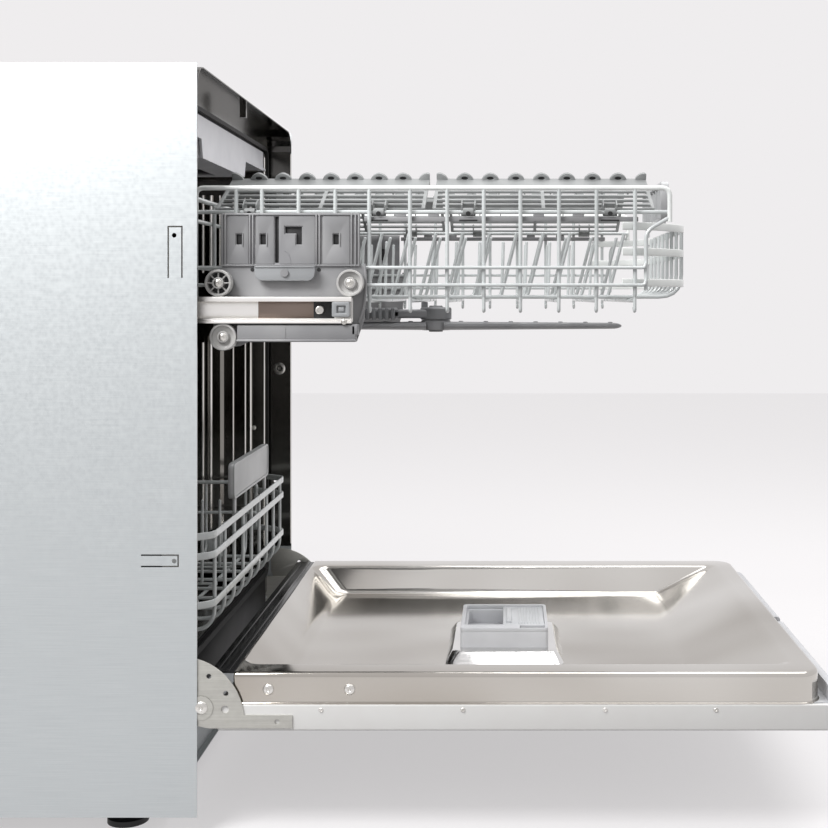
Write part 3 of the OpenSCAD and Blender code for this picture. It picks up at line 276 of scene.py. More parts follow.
# colour, roughness and bump of one finish: the two colours lie at the stops of one pattern, the
# roughness varies by the shares low and high with another, and a third gives the relief
def finishMaterial(tree, settings, tone, colours, stops, wear, roughness, shares, relief, lift, deep):
    colour = addNode(tree, "ValToRGB", {"stops": tuple(zip(stops, colours))}, {"Fac": tone})
    rough = addNode(tree, "MapRange", {"To Min": roughness * shares[0], "To Max": roughness * shares[1]},
                    {"Value": wear})
    bump = addNode(tree, "Bump", {"Strength": lift, "Distance": deep}, {"Height": relief})
    shader = addNode(tree, "BsdfPrincipled", settings,
                     {"Base Color": colour.outputs["Color"], "Roughness": rough.outputs[0],
                      "Normal": bump.outputs[0]})
    addNode(tree, "OutputMaterial", links={"Surface": shader.outputs[0]})


# metal with a rolled or brushed surface; real brush lines are about 0.1 mm wide, too fine to show,
# so "brush" draws them 2 to 3 mm wide; "cloud" is the size of its slow changes of tone
def metal(name, dark, light, roughness, brush, lift=0.02, cloud=(120, 120, 120)):
    material, tree = newMaterial(name)
    lines = pattern(tree, brush, Detail=4.0, Roughness=0.6).outputs[0]
    tone = pattern(tree, cloud, Detail=2.0).outputs[0]
    finishMaterial(tree, {"Metallic": 1.0}, tone, (dark, light), (0.3, 0.7),
                   lines, roughness, (0.8, 1.25), lines, lift, 0.0004)
    return material


# hot-dipped zinc: crystals of "spangle" mm, as real ones, and rolling lines of 0.2 mm drawn 0.9 mm
# wide, because finer ones don't show
def galvanised(name, dark, light, roughness, spangle):
    material, tree = newMaterial(name)
    crystals = pattern(tree, (spangle, spangle, spangle), "TexVoronoi").outputs["Distance"]
    grain = pattern(tree, (60, 60, 0.9), Detail=3.0).outputs[0]
    tone = addNode(tree, "Mix", {"data_type": "FLOAT", 0: 0.8}, {2: crystals, 3: grain}).outputs[0]
    finishMaterial(tree, {"Metallic": 0.55}, tone, (dark, light), (0.2, 0.8),
                   crystals, roughness, (0.85, 1.2), grain, 0.05, 0.0003)
    return material


# moulded or dipped polymer, its colour mottled over 45 mm; "grain" is the size of the skin's relief
# in mm, where a real mould's 0.1 to 0.3 mm texture is too fine and is drawn coarser
def polymer(name, dark, light, roughness, grain, lift, coat=0.0, ior=1.5):
    material, tree = newMaterial(name)
    skin = pattern(tree, (grain, grain, grain), Detail=3.0).outputs[0]
    tone = pattern(tree, (45, 45, 45), Detail=2.0).outputs[0]
    finishMaterial(tree, {"IOR": ior, "Coat Weight": coat, "Coat Roughness": 0.15}, tone, (dark, light),
                   (0.3, 0.7), tone, roughness, (0.88, 1.12), skin, lift, 0.0003)
    return material


# each finish: how it is made, the record's slot, its two colours, its roughness and its patterns
finishes = {
    # deep-drawn stainless sheet: pale and slightly warm, with long soft reflections along the door painted
    # into its tone
    "doorStainless": (metal, "stainless", "#a09a91", "#dedcd8", 0.12,
                      {"brush": (3, 90, 3), "cloud": (300, 420, 300)}),
    # the tub's stainless, painted darker than the door's as painted shade, so that in the tub it renders near
    # black, with bright lines where it catches light
    "tubStainlessShaded": (metal, "stainless", "#817f7b", "#8a8782", 0.12, {"brush": (60, 60, 2)}),
    # the tub's front frame: the same stainless painted darker still, as painted shade
    "frameStainlessShaded": (metal, "stainless", "#5c5b59", "#706e6a", 0.14, {"brush": (60, 60, 2)}),
    # roll-formed rail steel: almost white, with a broad soft shine
    "railStainless": (metal, "rail_steel", "#efede9", "#faf9f7", 0.3, {"brush": (3, 80, 3)}),
    # zinc-plated screws: small, bright and slightly yellow
    "screwZinc": (metal, "stainless", "#b9b7b2", "#dedcd8", 0.28, {"brush": (2, 2, 2), "lift": 0.1}),
    # hot-dipped sheet of the side panels: a matt bluish grey with a faint crystal spangle
    "sidePanelZinc": (galvanised, "zinc_sheet", "#b5babc", "#c4c8c9", 0.5, {"spangle": 5}),
    # the hinge's thicker plate: warmer and a little shinier
    "hingeZinc": (galvanised, "zinc_sheet", "#acaba5", "#c1c0ba", 0.4, {"spangle": 6}),
    # powder-coated sheet: even, light and softly glossy
    "doorCoatedSheet": (polymer, "skin", "#dedddb", "#e2e2e0", 0.3,
                        {"grain": 1.5, "lift": 0.05, "coat": 0.3}),
    # wire dipped in nylon: a thick satin coat in a very light grey
    "nylonDippedWire": (polymer, "rack_wire", "#b9bdbd", "#cbcfcf", 0.28,
                        {"grain": 2.5, "lift": 0.12, "coat": 0.4}),
    # the bands and the rack's top rim: the same coating, painted lighter than the wire as a painted highlight
    "nylonBandPaintedHighlight": (polymer, "rack_wire", "#e0e3e1", "#eef0ee", 0.3,
                        {"grain": 2.5, "lift": 0.12, "coat": 0.3}),
    # injection-moulded polypropylene in mid greys: a soft sheen on a fine grain
    "carriagePolypropylene": (polymer, "rack_plastic", "#7f7f81", "#8f8f90", 0.42,
                              {"grain": 0.8, "lift": 0.12}),
    # moulded acetal: waxy, pale and smoother than the greys beside it
    "wheelAcetal": (polymer, "rack_plastic", "#a3a2a0", "#b9b8b6", 0.32, {"grain": 0.8, "lift": 0.1}),
    "shelfPolypropylene": (polymer, "shelf_plastic", "#7e8080", "#919393", 0.36, {"grain": 0.8, "lift": 0.1}),
    "handlePolypropylene": (polymer, "rack_plastic", "#a9aaab", "#b9babb", 0.34, {"grain": 0.8, "lift": 0.1}),
    "leverPolypropylene": (polymer, "pale_plastic", "#8c8e90", "#9a9c9e", 0.36, {"grain": 0.8, "lift": 0.1}),
    "ductPolypropylene": (polymer, "rack_plastic", "#6f7072", "#7f8082", 0.42, {"grain": 1.0, "lift": 0.12}),
    "sprayArmPolypropylene": (polymer, "arm_plastic", "#858587", "#949496", 0.4,
                              {"grain": 1.0, "lift": 0.12}),
    # plated trim: a bright, almost clear mirror
    "plinthChrome": (metal, "pale_plastic", "#d9d9d8", "#ecebea", 0.1, {"brush": (40, 40, 40), "lift": 0.01}),
    # injection-moulded ABS: pale, even and half glossy
    "lidAbs": (polymer, "pale_plastic", "#babcbf", "#c9cbcd", 0.3, {"grain": 0.7, "lift": 0.12}),
    "paleAbs": (polymer, "pale_plastic", "#b9babd", "#c6c7ca", 0.3, {"grain": 0.8, "lift": 0.08}),
    "trayAbs": (polymer, "pale_plastic", "#d2d2d7", "#dedee2", 0.35, {"grain": 0.8, "lift": 0.08}),
    # moulded parts out of sight: matt black, dark grey, milky white, and the cap's blue; the black also
    # paints shade and shadows on the racks
    "blackPolypropylene": (polymer, "dark_plastic", "#161617", "#222223", 0.5, {"grain": 1.2, "lift": 0.15}),
    "pumpPolypropylene": (polymer, "pump_plastic", "#47494b", "#55585a", 0.5, {"grain": 1.2, "lift": 0.15}),
    "tankPolypropylene": (polymer, "tank_plastic", "#cfcfca", "#dcdcd7", 0.42, {"grain": 1.5, "lift": 0.1}),
    "capPolypropylene": (polymer, "cap_blue", "#394d6e", "#46597a", 0.4, {"grain": 1.0, "lift": 0.1}),
    # polished black strips: deep black, with clear but weak reflections
    "glossPolypropylene": (polymer, "seal_rubber", "#0c0c0d", "#161617", 0.2,
                           {"grain": 30, "lift": 0.02, "ior": 1.3}),
    "sillPolypropylene": (polymer, "seal_rubber", "#0b0b0c", "#151516", 0.5,
                          {"grain": 20, "lift": 0.03, "ior": 1.18}),
    # the ball cage's strip: brown and dull beside the rail, a painted reflection for the brown seen in the
    # rail's mirror face
    "cageBrownReflection": (metal, "rail_steel", "#75685f", "#8d8078", 0.3, {"brush": (2, 40, 2), "lift": 0.05}),
    # folds of the tub's edge and beads in its wall, in a steel much lighter than the tub's: painted highlight
    # lines
    "hemHighlightSteel": (metal, "stainless", "#e3e1dd", "#f4f2ef", 0.22, {"brush": (40, 40, 2), "lift": 0.01}),
    # extruded rubber: matt black, without a highlight
    "sealRubber": (polymer, "seal_rubber", "#131313", "#1f1f1f", 0.6, {"grain": 1.5, "lift": 0.2}),
    # drawn spring wire: grey and slightly oily
    "springSteel": (metal, "spring_wire", "#7f7d79", "#989691", 0.35, {"brush": (2, 2, 2), "lift": 0.1}),
}
materials = {name: (make(name, dark, light, roughness, **patterns), recordSlot)
             for name, (make, recordSlot, dark, light, roughness, patterns) in finishes.items()}

nodeFinishes = {
    "sidePanelZinc": ["kick_plate", "side_panel_left", "side_panel_right", "rear_panel", "top_braces"],
    "blackPolypropylene": ["base_pan", "adjusting_feet", "rail_glides", "drain_spigot"],
    "tubStainlessShaded": ["tub_shell", "rack_tracks"],
    "frameStainlessShaded": ["tub_front_frame"],
    "sealRubber": ["door_gasket", "door_bottom_seal"],
    "pumpPolypropylene": ["sump_housing", "filter_cup", "circulation_pump", "drain_pump"],
    "screwZinc": ["filter_plate"],
    "tankPolypropylene": ["water_softener", "inlet_valve"],
    "capPolypropylene": ["salt_cap"],
    "paleAbs": ["water_duct", "control_console", "detergent_lid", "dispenser_housing"],
    "springSteel": ["balance_springs"],
    "hingeZinc": ["hinge_brackets", "hinge_plates"],
    "sprayArmPolypropylene": ["lower_spray_arm", "top_spray_arm", "middle_spray_arm", "rinse_cap",
                              "door_latch"],
    "doorStainless": ["door_liner"],
    "doorCoatedSheet": ["door_outer_panel"],
    "handlePolypropylene": ["button_power", "button_program", "button_start", "upper_handle", "lower_handle"],
    "railStainless": ["upper_rails"],
    "carriagePolypropylene": ["rail_end_caps", "feed_duct", "rack_carriages"],
    "leverPolypropylene": ["adjuster_levers"],
    "trayAbs": ["cutlery_tray"],
    "nylonDippedWire": ["upper_basket", "upper_tines", "lower_basket", "lower_tines"],
    "shelfPolypropylene": ["cup_shelf_left_front", "cup_shelf_left_rear",
                           "cup_shelf_right_front", "cup_shelf_right_rear"],
    "wheelAcetal": ["carriage_wheels_rear", "carriage_wheels_front", "carriage_wheels_under",
                    "lower_wheels_front", "lower_wheels_rear"],
}
for finish, nodes in nodeFinishes.items():
    for node in nodes:
        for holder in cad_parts[node].material_slots:
            holder.material = materials[finish][0]
print("materials made")

# the door liner, one skin for flange, side, rim, walls and recess floor; a level is x from, x to,
# f from, f to, its corner radii and its z
recessZ, flangeZ, rimZ = 132, 138.9, 171
liner = {
    "levels": [(-284, 284, 46, 651, (2, 20, 20, 2), recessZ - 2.5),
               (-294.8, 294.8, 35.2, 661.8, (2, 25.8, 25.8, 2), flangeZ - 1.1),
               (-294.8, 294.8, 35.2, 661.8, (2, 25.8, 25.8, 2), flangeZ),
               (-293, 293, 37, 660, (2, 24, 24, 2), flangeZ + 0.2),
               (-293, 293, 37, 660, (2, 24, 24, 2), rimZ),
               (-257, 257, 40, 632, (22, 11, 11, 22), rimZ),
               (-243, 243, 74, 544, (22, 8, 8, 22), recessZ),
               (-222, 222, 96, 524, (16, 4, 4, 16), recessZ)],
    "bends": (0.3, 0.5, 1.6, 5.5, 7, 9), "steps": 7, "perCorner": 9, "perSide": 10}
addPiece("doorLiner", [stack(**liner)], "door", "doorStainless", ["door_liner"], crease=50)


# a raised screw head with a dimple: a dome turned about its outward direction, its radii and
# heights given as shares of r
def screwHead(centre, outward, r):
    dome = [(0, 0.28), (0.18, 0.3), (0.3, 0.42), (0.62, 0.36), (0.88, 0.2), (1, 0), (1, -0.12)]
    return turned(np.array(dome) * r, centre, outward, 24)


# rows of screws in the liner's side and in the panel's edge
doorScrews = {"linerRow": {"x": 293, "z": 153, "r": 6, "along": (74, 160)},
              "edgeRow": {"x": 295.2, "z": 132, "r": 2.6, "along": (130, 280, 430, 547)}}


def screwRow(x, z, r, along):
    return [screwHead((side * x, f, z), (side, 0, 0), r) for side in sides for f in along]


addPiece("doorScrews", sum((screwRow(**row) for row in doorScrews.values()), []), "door", "screwZinc")

# the coated outer panel, whose folded edge shows as a bright strip under the liner's flange
panel = {
    "levels": [(-292, 292, 23, 665, 2, 110), (-295.2, 295.2, 20, 668, 3, 110),
               (-295.2, 295.2, 20, 668, 3, 137.6), (-290.2, 290.2, 25, 663, 3, 137.6),
               (-290.2, 290.2, 25, 663, 3, 112)],
    "bends": (2.6, 1.2, 0.3), "steps": 5, "perCorner": 5, "perSide": 6}
addPiece("outerPanel", [stack(**panel)], "door", "doorCoatedSheet", ["door_outer_panel"])

# hinge plates: the centre, radius and angles of a sector, the tongue below it, and holes as f, z, r
hinge = {"centre": (-19.5, 120), "radius": 69, "arc": (6, 100), "inner": (295.2, -297), "thick": 1.8,
         "tongue": [[-30, 153], [-12, 118], [12, 113], [100, 113], [100, 127]],
         "holes": [(4, 135, 5.1), (29, 133, 4), (84, 120, 2.5), (30, 150, 2.6), (12, 168, 2.6)]}


# the sector is its centre + radius times (cosine, sine)
def hingePlates(centre, radius, arc, inner, thick, tongue, holes):
    angle = np.radians(np.linspace(*arc, 26))
    sector = np.stack([centre[0] + radius * np.cos(angle), centre[1] + radius * np.sin(angle)], -1)
    outlines = [sector.tolist() + tongue] + [circle(*hole) for hole in holes]
    return [plate(outlines, "x", low, low + thick, 0.5) for low in inner]


addPiece("hingePlates", hingePlates(**hinge), "door", "hingeZinc", ["hinge_plates"])

# hinge pins: a screw in a black ring, its profile as radius and height
pin = {"x": 297.1, "f": 4, "z": 135, "head": 7.4,
       "ring": [(7.6, 0), (12.4, 0), (12.4, 0.3), (11.4, 0.6), (8.2, 0.6), (7.6, 0)]}
pinPlaces = [((side * pin["x"], pin["f"], pin["z"]), (side, 0, 0)) for side in sides]
addPiece("hingePinRings", [turned(pin["ring"], *spot) for spot in pinPlaces], "door", "blackPolypropylene")
addPiece("hingePinHeads", [screwHead(*spot, pin["head"]) for spot in pinPlaces], "door", "screwZinc")

# the dispenser's chromed plinth, with sloping sides
plinth = {
    "levels": [(-134, 48, 253, 394, 14, recessZ - 0.5), (-134, 48, 253, 394, 14, recessZ + 1.5),
               (-115, 29, 261, 385, 11, recessZ + 14), (-109, 23, 266, 381, 6, recessZ + 14.5)],
    "bends": (0.6, 3), "steps": 5, "perCorner": 8, "perSide": 2}
addPiece("dispenserPlinth", [stack(**plinth)], "door", "plinthChrome")

# its block: walls round a sunken well, and a deck that leaves the lid's track and the cap's seat
# free; each outline is x from, x to, f from, f to and its radius
block = {"floor": recessZ + 13, "deck": 165.2, "top": 170, "outer": (-104, 18, 270, 376, 5),
         "well": (-78, 6, 278, 324, 4), "track": (-86, 12, 275, 372, 3),
         "capSeat": (-102, -89, 342, 372, 2),
         "bottom": (-80, 8, 276, 326, 4)}


def dispenserBlock(floor, deck, top, outer, well, track, capSeat, bottom):
    outline = rectangle(*outer)
    return [plate([outline, rectangle(*well)], "z", floor, deck, 0.5),
            plate([outline, rectangle(*track), rectangle(*capSeat)], "z", deck - 0.2, top, 0.9),
            plate([rectangle(*bottom)], "z", floor - 3, floor + 4, 0.3)]


addPiece("dispenserBlock", dispenserBlock(**block), "door", "paleAbs", ["dispenser_housing"])
# the seal between the plinth and the block
blockSeal = {"outline": (-105.5, 19.5, 268.5, 377.5, 6), "z": (143, 146.2)}
addPiece("dispenserSeal", [plate([rectangle(*blockSeal["outline"])], "z", *blockSeal["z"], 0.6)],
         "door", "sealRubber")

# its sliding lid: a plate, a grip bar, and ribs across it at every f of "ribs"
lid = {"outline": (-85.7, 11.7, 321.4, 371.7, 3), "low": 165.4, "high": 168.5,
       "grip": ((-72, 325.5, 168), (-2, 331.5, 170.6)), "ribs": np.arange(340, 368, 3.6)}


def dispenserLid(outline, low, high, grip, ribs):
    parts = [plate([rectangle(*outline)], "z", low, high, 0.6), slab(*grip, 1.1)]
    return parts + [slab((-76, f, high - 0.3), (2, f + 1.6, high + 0.9), 0.5) for f in ribs]


addPiece("dispenserLid", dispenserLid(**lid), "detergent_lid", "lidAbs", ["detergent_lid"])

# the flat black seal along the door's lower edge, with a ridge at every f of "ridges"
seal = {"half": 286, "f": (10.4, 36.6), "z": (168, 170.2), "ridges": (14, 26), "ridgeWide": 5,
        "ridgeTop": 170.9}


def bottomSeal(half, f, z, ridges, ridgeWide, ridgeTop):
    parts = [slab((-half, f[0], z[0]), (half, f[1], z[1]), 1, "x")]
    return parts + [slab((-half, low, z[0] + 1), (half, low + ridgeWide, ridgeTop), 0.9, "x")
                    for low in ridges]


addPiece("bottomSeal", bottomSeal(**seal), "door", "glossPolypropylene", ["door_bottom_seal"])
print("door made")

# the upper rack: its half width, heights and ends, the places of its hoops and long wires, a foot
# as x and z, and the brace at its front corner as f and z
wireD, thinD, rimD = 4.5, 3.825, 5.5
overWire = 4.185  # the next wire up, sunk a little into the one below, as welded wires are
rack = {"halfWide": 249, "floor": 564, "top": 687, "front": 529, "back": -13, "sideEnd": 504,
        "hingeX": 244.5, "hingeZ": 661, "sideWires": (600, 581), "sideWireEnd": 478,
        "foot": ((247, 572), (247, 553), (241, 552), (240, 557)),
        "brace": ((504, 655), (478, 640), (478, 575)),
        "backWires": ((675, rimD), (651, wireD), (600, wireD)),
        "hoops": [31, 59, 99, 139, 176, 220.5, 261, 301, 341, 383, 424, 466],
        "longWires": [i * 44.5 for i in range(-4, 5)]}


def rackWires(halfWide, floor, top, front, back, sideEnd, hingeX, hingeZ, sideWires, sideWireEnd, foot,
              brace, backWires, hoops, longWires):
    parts = []
    for f in hoops:
        hoop = [(-halfWide, f, top), (-halfWide, f, floor), (halfWide, f, floor), (halfWide, f, top)]
        parts.append(tube(bend(hoop, 13), wireD, alongF))
        # a short foot turned up below each hoop
        for side in sides:
            parts.append(tube(bend([(side * x, f, z) for x, z in foot], 3), thinD, alongF, 8))
    z = floor + overWire
    for x in longWires:
        path = [(x, back + 4, top - 14), (x, back + 4, z), (x, front - 3, z), (x, front - 3, floor + 84)]
        parts.append(tube(bend(path, (12, 26)), wireD, alongX))
    for side in sides:
        x = side * halfWide
        corner = [(x, back, top - 12), (x, back, floor), (x - side * 14, back, floor)]
        parts.append(tube(bend(corner, 11), wireD, alongF))
        parts.append(tube([(side * hingeX, back, hingeZ), (side * hingeX, sideEnd, hingeZ)], wireD, alongX))
        out = side * (halfWide + 4.2)
        for z in sideWires:
            path = [(out, back, z), (out, sideWireEnd - 2, z), (out, sideWireEnd, z + 6)]
            parts.append(tube(bend(path, 3), thinD, alongX))
        parts.append(tube(bend([(x, f, z) for f, z in brace], 10), wireD, alongX))
    for z, d in backWires:
        parts.append(tube([(-halfWide, back, z), (halfWide, back, z)], d))
    return parts


addPiece("upperBasket", rackWires(**rack), "upper_rack", "nylonDippedWire", ["upper_basket"])

# flat bands round the rack's front: a corner's (x, f) places, the bend at each, and each top edge
upperBands = {"corners": ((250, 452), (236, 488), (184, rack["front"])), "reach": (16, 22), "height": 8.7,
              "tops": [rack["floor"] + rise for rise in (24, 58, 86)]}


# a rounded strip, 2.4 mm thick, carried along a plan path that is the same on both sides
def bands(corners, reach, height, tops):
    section = roundedRing(-1.2, 1.2, -height / 2, height / 2, 1.08, 4, 0)
    plan = [(-x, f) for x, f in corners] + [(x, f) for x, f in corners[::-1]]
    return [sweep(bend([(x, f, top - height / 2) for x, f in plan], reach + reach[::-1], 8), section)
            for top in tops]


# the rim of the rack's sides, with its front end turned down
topRim = [(rack["halfWide"], rack["back"], 661), (rack["halfWide"], rack["back"], rack["top"]),
          (rack["halfWide"], rack["sideEnd"], rack["top"]), (rack["halfWide"], rack["sideEnd"], 650)]
# the bands and the rim wear the lighter coat, a painted highlight
addPiece("upperBands", bands(**upperBands) + mirrored([tube(bend(topRim, 9), rimD, alongX, 12)]),
         "upper_rack", "nylonBandPaintedHighlight")

# tines: their x and how far each row leans, the first and last f, the pitch, and foot and tip heights
upperTines = {"rows": {-168: 18, -62: 18, 62: 2, 168: 2}, "first": 40, "last": 470, "pitch": 31,
              "foot": rack["floor"] + wireD / 2 + 2.2, "tip": 640}


# each tine rises from its row's rod, straight or leaning, to a rounded tip
def tineRows(rows, first, last, pitch, foot, tip, d=4):
    parts = []
    dome = np.linspace(-1.2, 1.5, 5)
    tipProfile = d * 0.56 * np.stack([np.cos(dome), np.sin(dome)], -1)
    for x, lean in rows.items():
        parts.append(tube([(x, first - 4, foot), (x, last + 8, foot)], d, alongX, 8))
        for f in np.arange(first, last + 1, pitch):
            path = [(x, f - 5, foot), (x, f, foot + 1), (x, f + lean, tip)]
            parts.append(tube(bend(path, 5, 4), d, alongX, 8))
            parts.append(turned(tipProfile, (x, f + lean, tip), alongZ, 8))
    return parts


addPiece("upperTines", tineRows(**upperTines), "upper_rack", "nylonDippedWire", ["upper_tines"])

upperHandle = {"front": 520, "low": 660, "high": 707, "thick": 9, "uprightX": 90, "uprightLow": 648}


# a pull handle: a rounded plate with a hollow, ribbed back for the fingers, on two uprights
def handlePlate(front, low, high, thick, uprightX, uprightLow, half=110):
    outer = rectangle(-half, half, low, high, 8)
    lip = rectangle(-half + 2.6, half - 2.6, low + 2.6, high - 2.6, 6)
    rim = rectangle(-half + 4, half - 4, low + 4, high - 4, 5)
    parts = [plate([rectangle(-half + 3, half - 3, low + 3, high - 3, 6)], "f", front - 2.4, front - 1, 0.3),
             plate([outer, lip], "f", front - 2.6, front, 0.7),
             plate([outer, rim], "f", front - thick, front - 2.2, 0.8)]
    back = front - thick
    for x in (-uprightX, uprightX):
        parts.append(slab((x - 4, back + 3, uprightLow), (x + 4, front - 1.5, low + 4), 1.2))
    for x in np.arange(-84, 85, 28):
        parts.append(slab((x - 0.8, back + 2, low + 5), (x + 0.8, front - 2, high - 5), 0.3))
    return parts


addPiece("upperHandle", handlePlate(**upperHandle), "upper_rack", "handlePolypropylene", ["upper_handle"])
print("upper rack wires made")

# cup shelves, drawn level and tipped up about their hinge wire by "slope" degrees
shelf = {"z": 661, "hingeX": 244.5, "slope": 23.5, "depth": 112, "crowns": 9, "slots": 4,
         "rows": {"rear": (5, 236), "front": (244, 489)}}
shelfDepth = shelf["depth"]


# turns (reach, f, up) points about the hinge: reach runs inwards, and both are turned by the slope
def tipped(part, side):
    points, faces = part
    reach, f, up = points[:, 0], points[:, 1], points[:, 2]
    slope = math.radians(shelf["slope"])
    x = shelf["hingeX"] - (reach * math.cos(slope) - up * math.sin(slope))
    z = shelf["z"] + reach * math.sin(slope) + up * math.cos(slope)
    return np.stack([side * x, f, z], -1), faces


# a crown is a bell outline, cut off at the shelf's ends, with an oval hole and two ridges: along
# the shelf 10.3 cos t (1 - 0.28 sin squared t), and up 10.4 times the 0.8th power of sin t
def crown(f, f0, f1):
    t = np.linspace(0, math.pi, 13)
    reach = f + 10.3 * np.cos(t) * (1 - 0.28 * np.sin(t) ** 2)
    bell = np.stack([np.clip(reach, f0, f1), -1.2 + 10.4 * np.sin(t) ** 0.8], -1)
    if min(f - f0, f1 - f) < 6:
        return [plate([bell], "x", shelfDepth - 5, shelfDepth, 0.4)]
    angle = np.arange(16) * math.pi / 8
    hole = np.stack([f + 3.9 * np.cos(angle), 3.2 + 1.9 * np.sin(angle)], -1)
    ridges = [slab((shelfDepth - 3.4, f + s * 5.4 - 0.7, -1), (shelfDepth + 0.9, f + s * 5.4 + 0.7, 6.8), 0.4)
              for s in sides]
    return [plate([bell, hole], "x", shelfDepth - 5, shelfDepth, 0.7)] + ridges


# slats by the hinge, a solid field with ribs below, a rolled free edge, crowns, and two clips that
# hold the hinge wire
def cupShelf(f0, f1):
    middle = (f0 + f1) / 2
    halves = ((f0 + 4, middle - 2), (middle + 2, f1 - 4))
    slots = [rectangle(10 + i * 15, 21 + i * 15, a, b, 1.5) for i in range(shelf["slots"]) for a, b in halves]
    parts = [plate([rectangle(8, shelfDepth, f0, f1, 2)] + slots, "z", -1.5, 1.5, 0.5)]
    for f in np.arange(f0 + 14, f1 - 8, 29.5):
        parts.append(slab((66, f - 0.7, -5), (shelfDepth - 3, f + 0.7, -1), 0.4))
    parts.append(slab((shelfDepth - 3, f0, -6), (shelfDepth, f1, 1), 0.9, "f"))
    for f in np.linspace(f0 + 3, f1 - 3, shelf["crowns"]):
        parts += crown(f, f0, f1)
    collar = [(2.35, -6), (4.1, -6), (4.6, -5.4), (4.6, 5.4), (4.1, 6), (2.35, 6), (2.35, -6)]
    cheek = [[-2, -4], [14, -1], [26, 1], [10, 11], [0, 8]]
    for f in (f0 + 40, f1 - 50):
        parts.append(turned(collar, (0, f, 0), alongF, 20))
        parts.append(slab((3.2, f - 6, -1.4), (9.5, f + 6, 1.4), 0.5))
        parts += [plate([cheek], "f", low, low + 1.6, 0.4) for low in (f - 8, f + 6.4)]
        parts.append(slab((6, f - 8, 6.5), (10, f + 8, 8), 0.5))
    return parts


# black slabs in each crown's hole, painted shade, and a pin's end and a black bar at each clip, the bar a
# painted shadow of the clip
def shelfPinsAndShade(f0, f1):
    disc = [(0, 0), (2.6, 0), (2.6, 0.5), (0, 0.5)]
    parts = [slab((shelfDepth - 4.2, f - 4.4, 0.8), (shelfDepth - 2.6, f + 4.4, 5.8), 0.4)
             for f in np.linspace(f0 + 3, f1 - 3, shelf["crowns"])[1:-1]]
    for f in (f0 + 40, f1 - 50):
        parts.append(turned(disc, (-4.5, f, 0), (-1, 0, 0), 16))
        parts.append(slab((-3.6, f - 7, -3.4), (-1.4, f + 7, -2.2), 0.5))
    return parts


for row, ends in shelf["rows"].items():
    for side, word in ((-1, "left"), (1, "right")):
        node = "cup_shelf_%s_%s" % (word, row)
        addPiece("cupShelf-%s-%s" % (word, row), [tipped(part, side) for part in cupShelf(*ends)],
                 node, "shelfPolypropylene", [node])
        addPiece("shelfPinsAndShade-%s-%s" % (word, row), [tipped(part, side) for part in shelfPinsAndShade(*ends)],
                 node, "blackPolypropylene")

# the telescopic rails' section and stations along f, and the wheels' places (f, z) on them
rail = {"x": (262, 277), "z": (539.8, 568.2), "wall": 1.5, "lip": 5, "stations": (-355, -120, 20, 160)}
railX0, railX1 = rail["x"]
wheelR = 14.5
wheelPlaces = {"rear": (16.5, rail["z"][1] + 0.3 + wheelR), "front": (158, rail["z"][1] + 0.3 + wheelR),
               "under": (21.8, rail["z"][0] - 0.3 - wheelR)}

# carriages: outlines are (f, z), a window is its width, z from and z to, a panel is f from, f to and
# the f of its window, and a bar is its low and high corner, its edge radius and its axis: the box
# under the rail and its lower lip, its end, the seam across it, and the plate at the hinge wire
carriageX = 258.5
carriage = {
    "wall": [[18, 659], [18, 601], [8, 590], [8, 516], [12, 512], [37, 515], [50, 521], [164, 521],
             [172, 545], [172, 600], [167, 604], [167, 659]],
    "hook": [[86, 637], [98, 637], [98, 625], [104, 625], [104, 644], [86, 644]],
    "split": (75, 79, 605, 655), "window": (6, 625, 636), "panelZ": (603.5, 656),
    "panels": ((24.5, 46.5, 33), (54.5, 74, 59), (126.5, 156, 138)), "hookPanel": (79.5, 118.5),
    "posts": (17, 20.6, 47, 50.2, 119, 122.4, 157, 161.4, 165), "beams": (601.2, 656.4),
    "bars": [((258, 37, 521.8), (275, 164, 537.8), 1.2, "f"),
             ((258, 36, 519.8), (275.6, 164.5, 522.6), 1.1, "f"),
             ((258, 159.5, 527), (275, 166.5, 538.8), 1.2, "z"),
             ((274.7, 88.6, 523.4), (275.5, 89.4, 537.4), 0.3, "z"),
             ((243.2, 170, 650.5), (245.8, 470, 655.8), 0.8, "f")],
    "curl": [(258.9, 172, 604), (259.4, 174, 580), (259.8, 171.5, 556), (259.8, 166, 540)],
    "leverPivot": (258, 87, 594), "clips": (204, 240, 355, 398)}


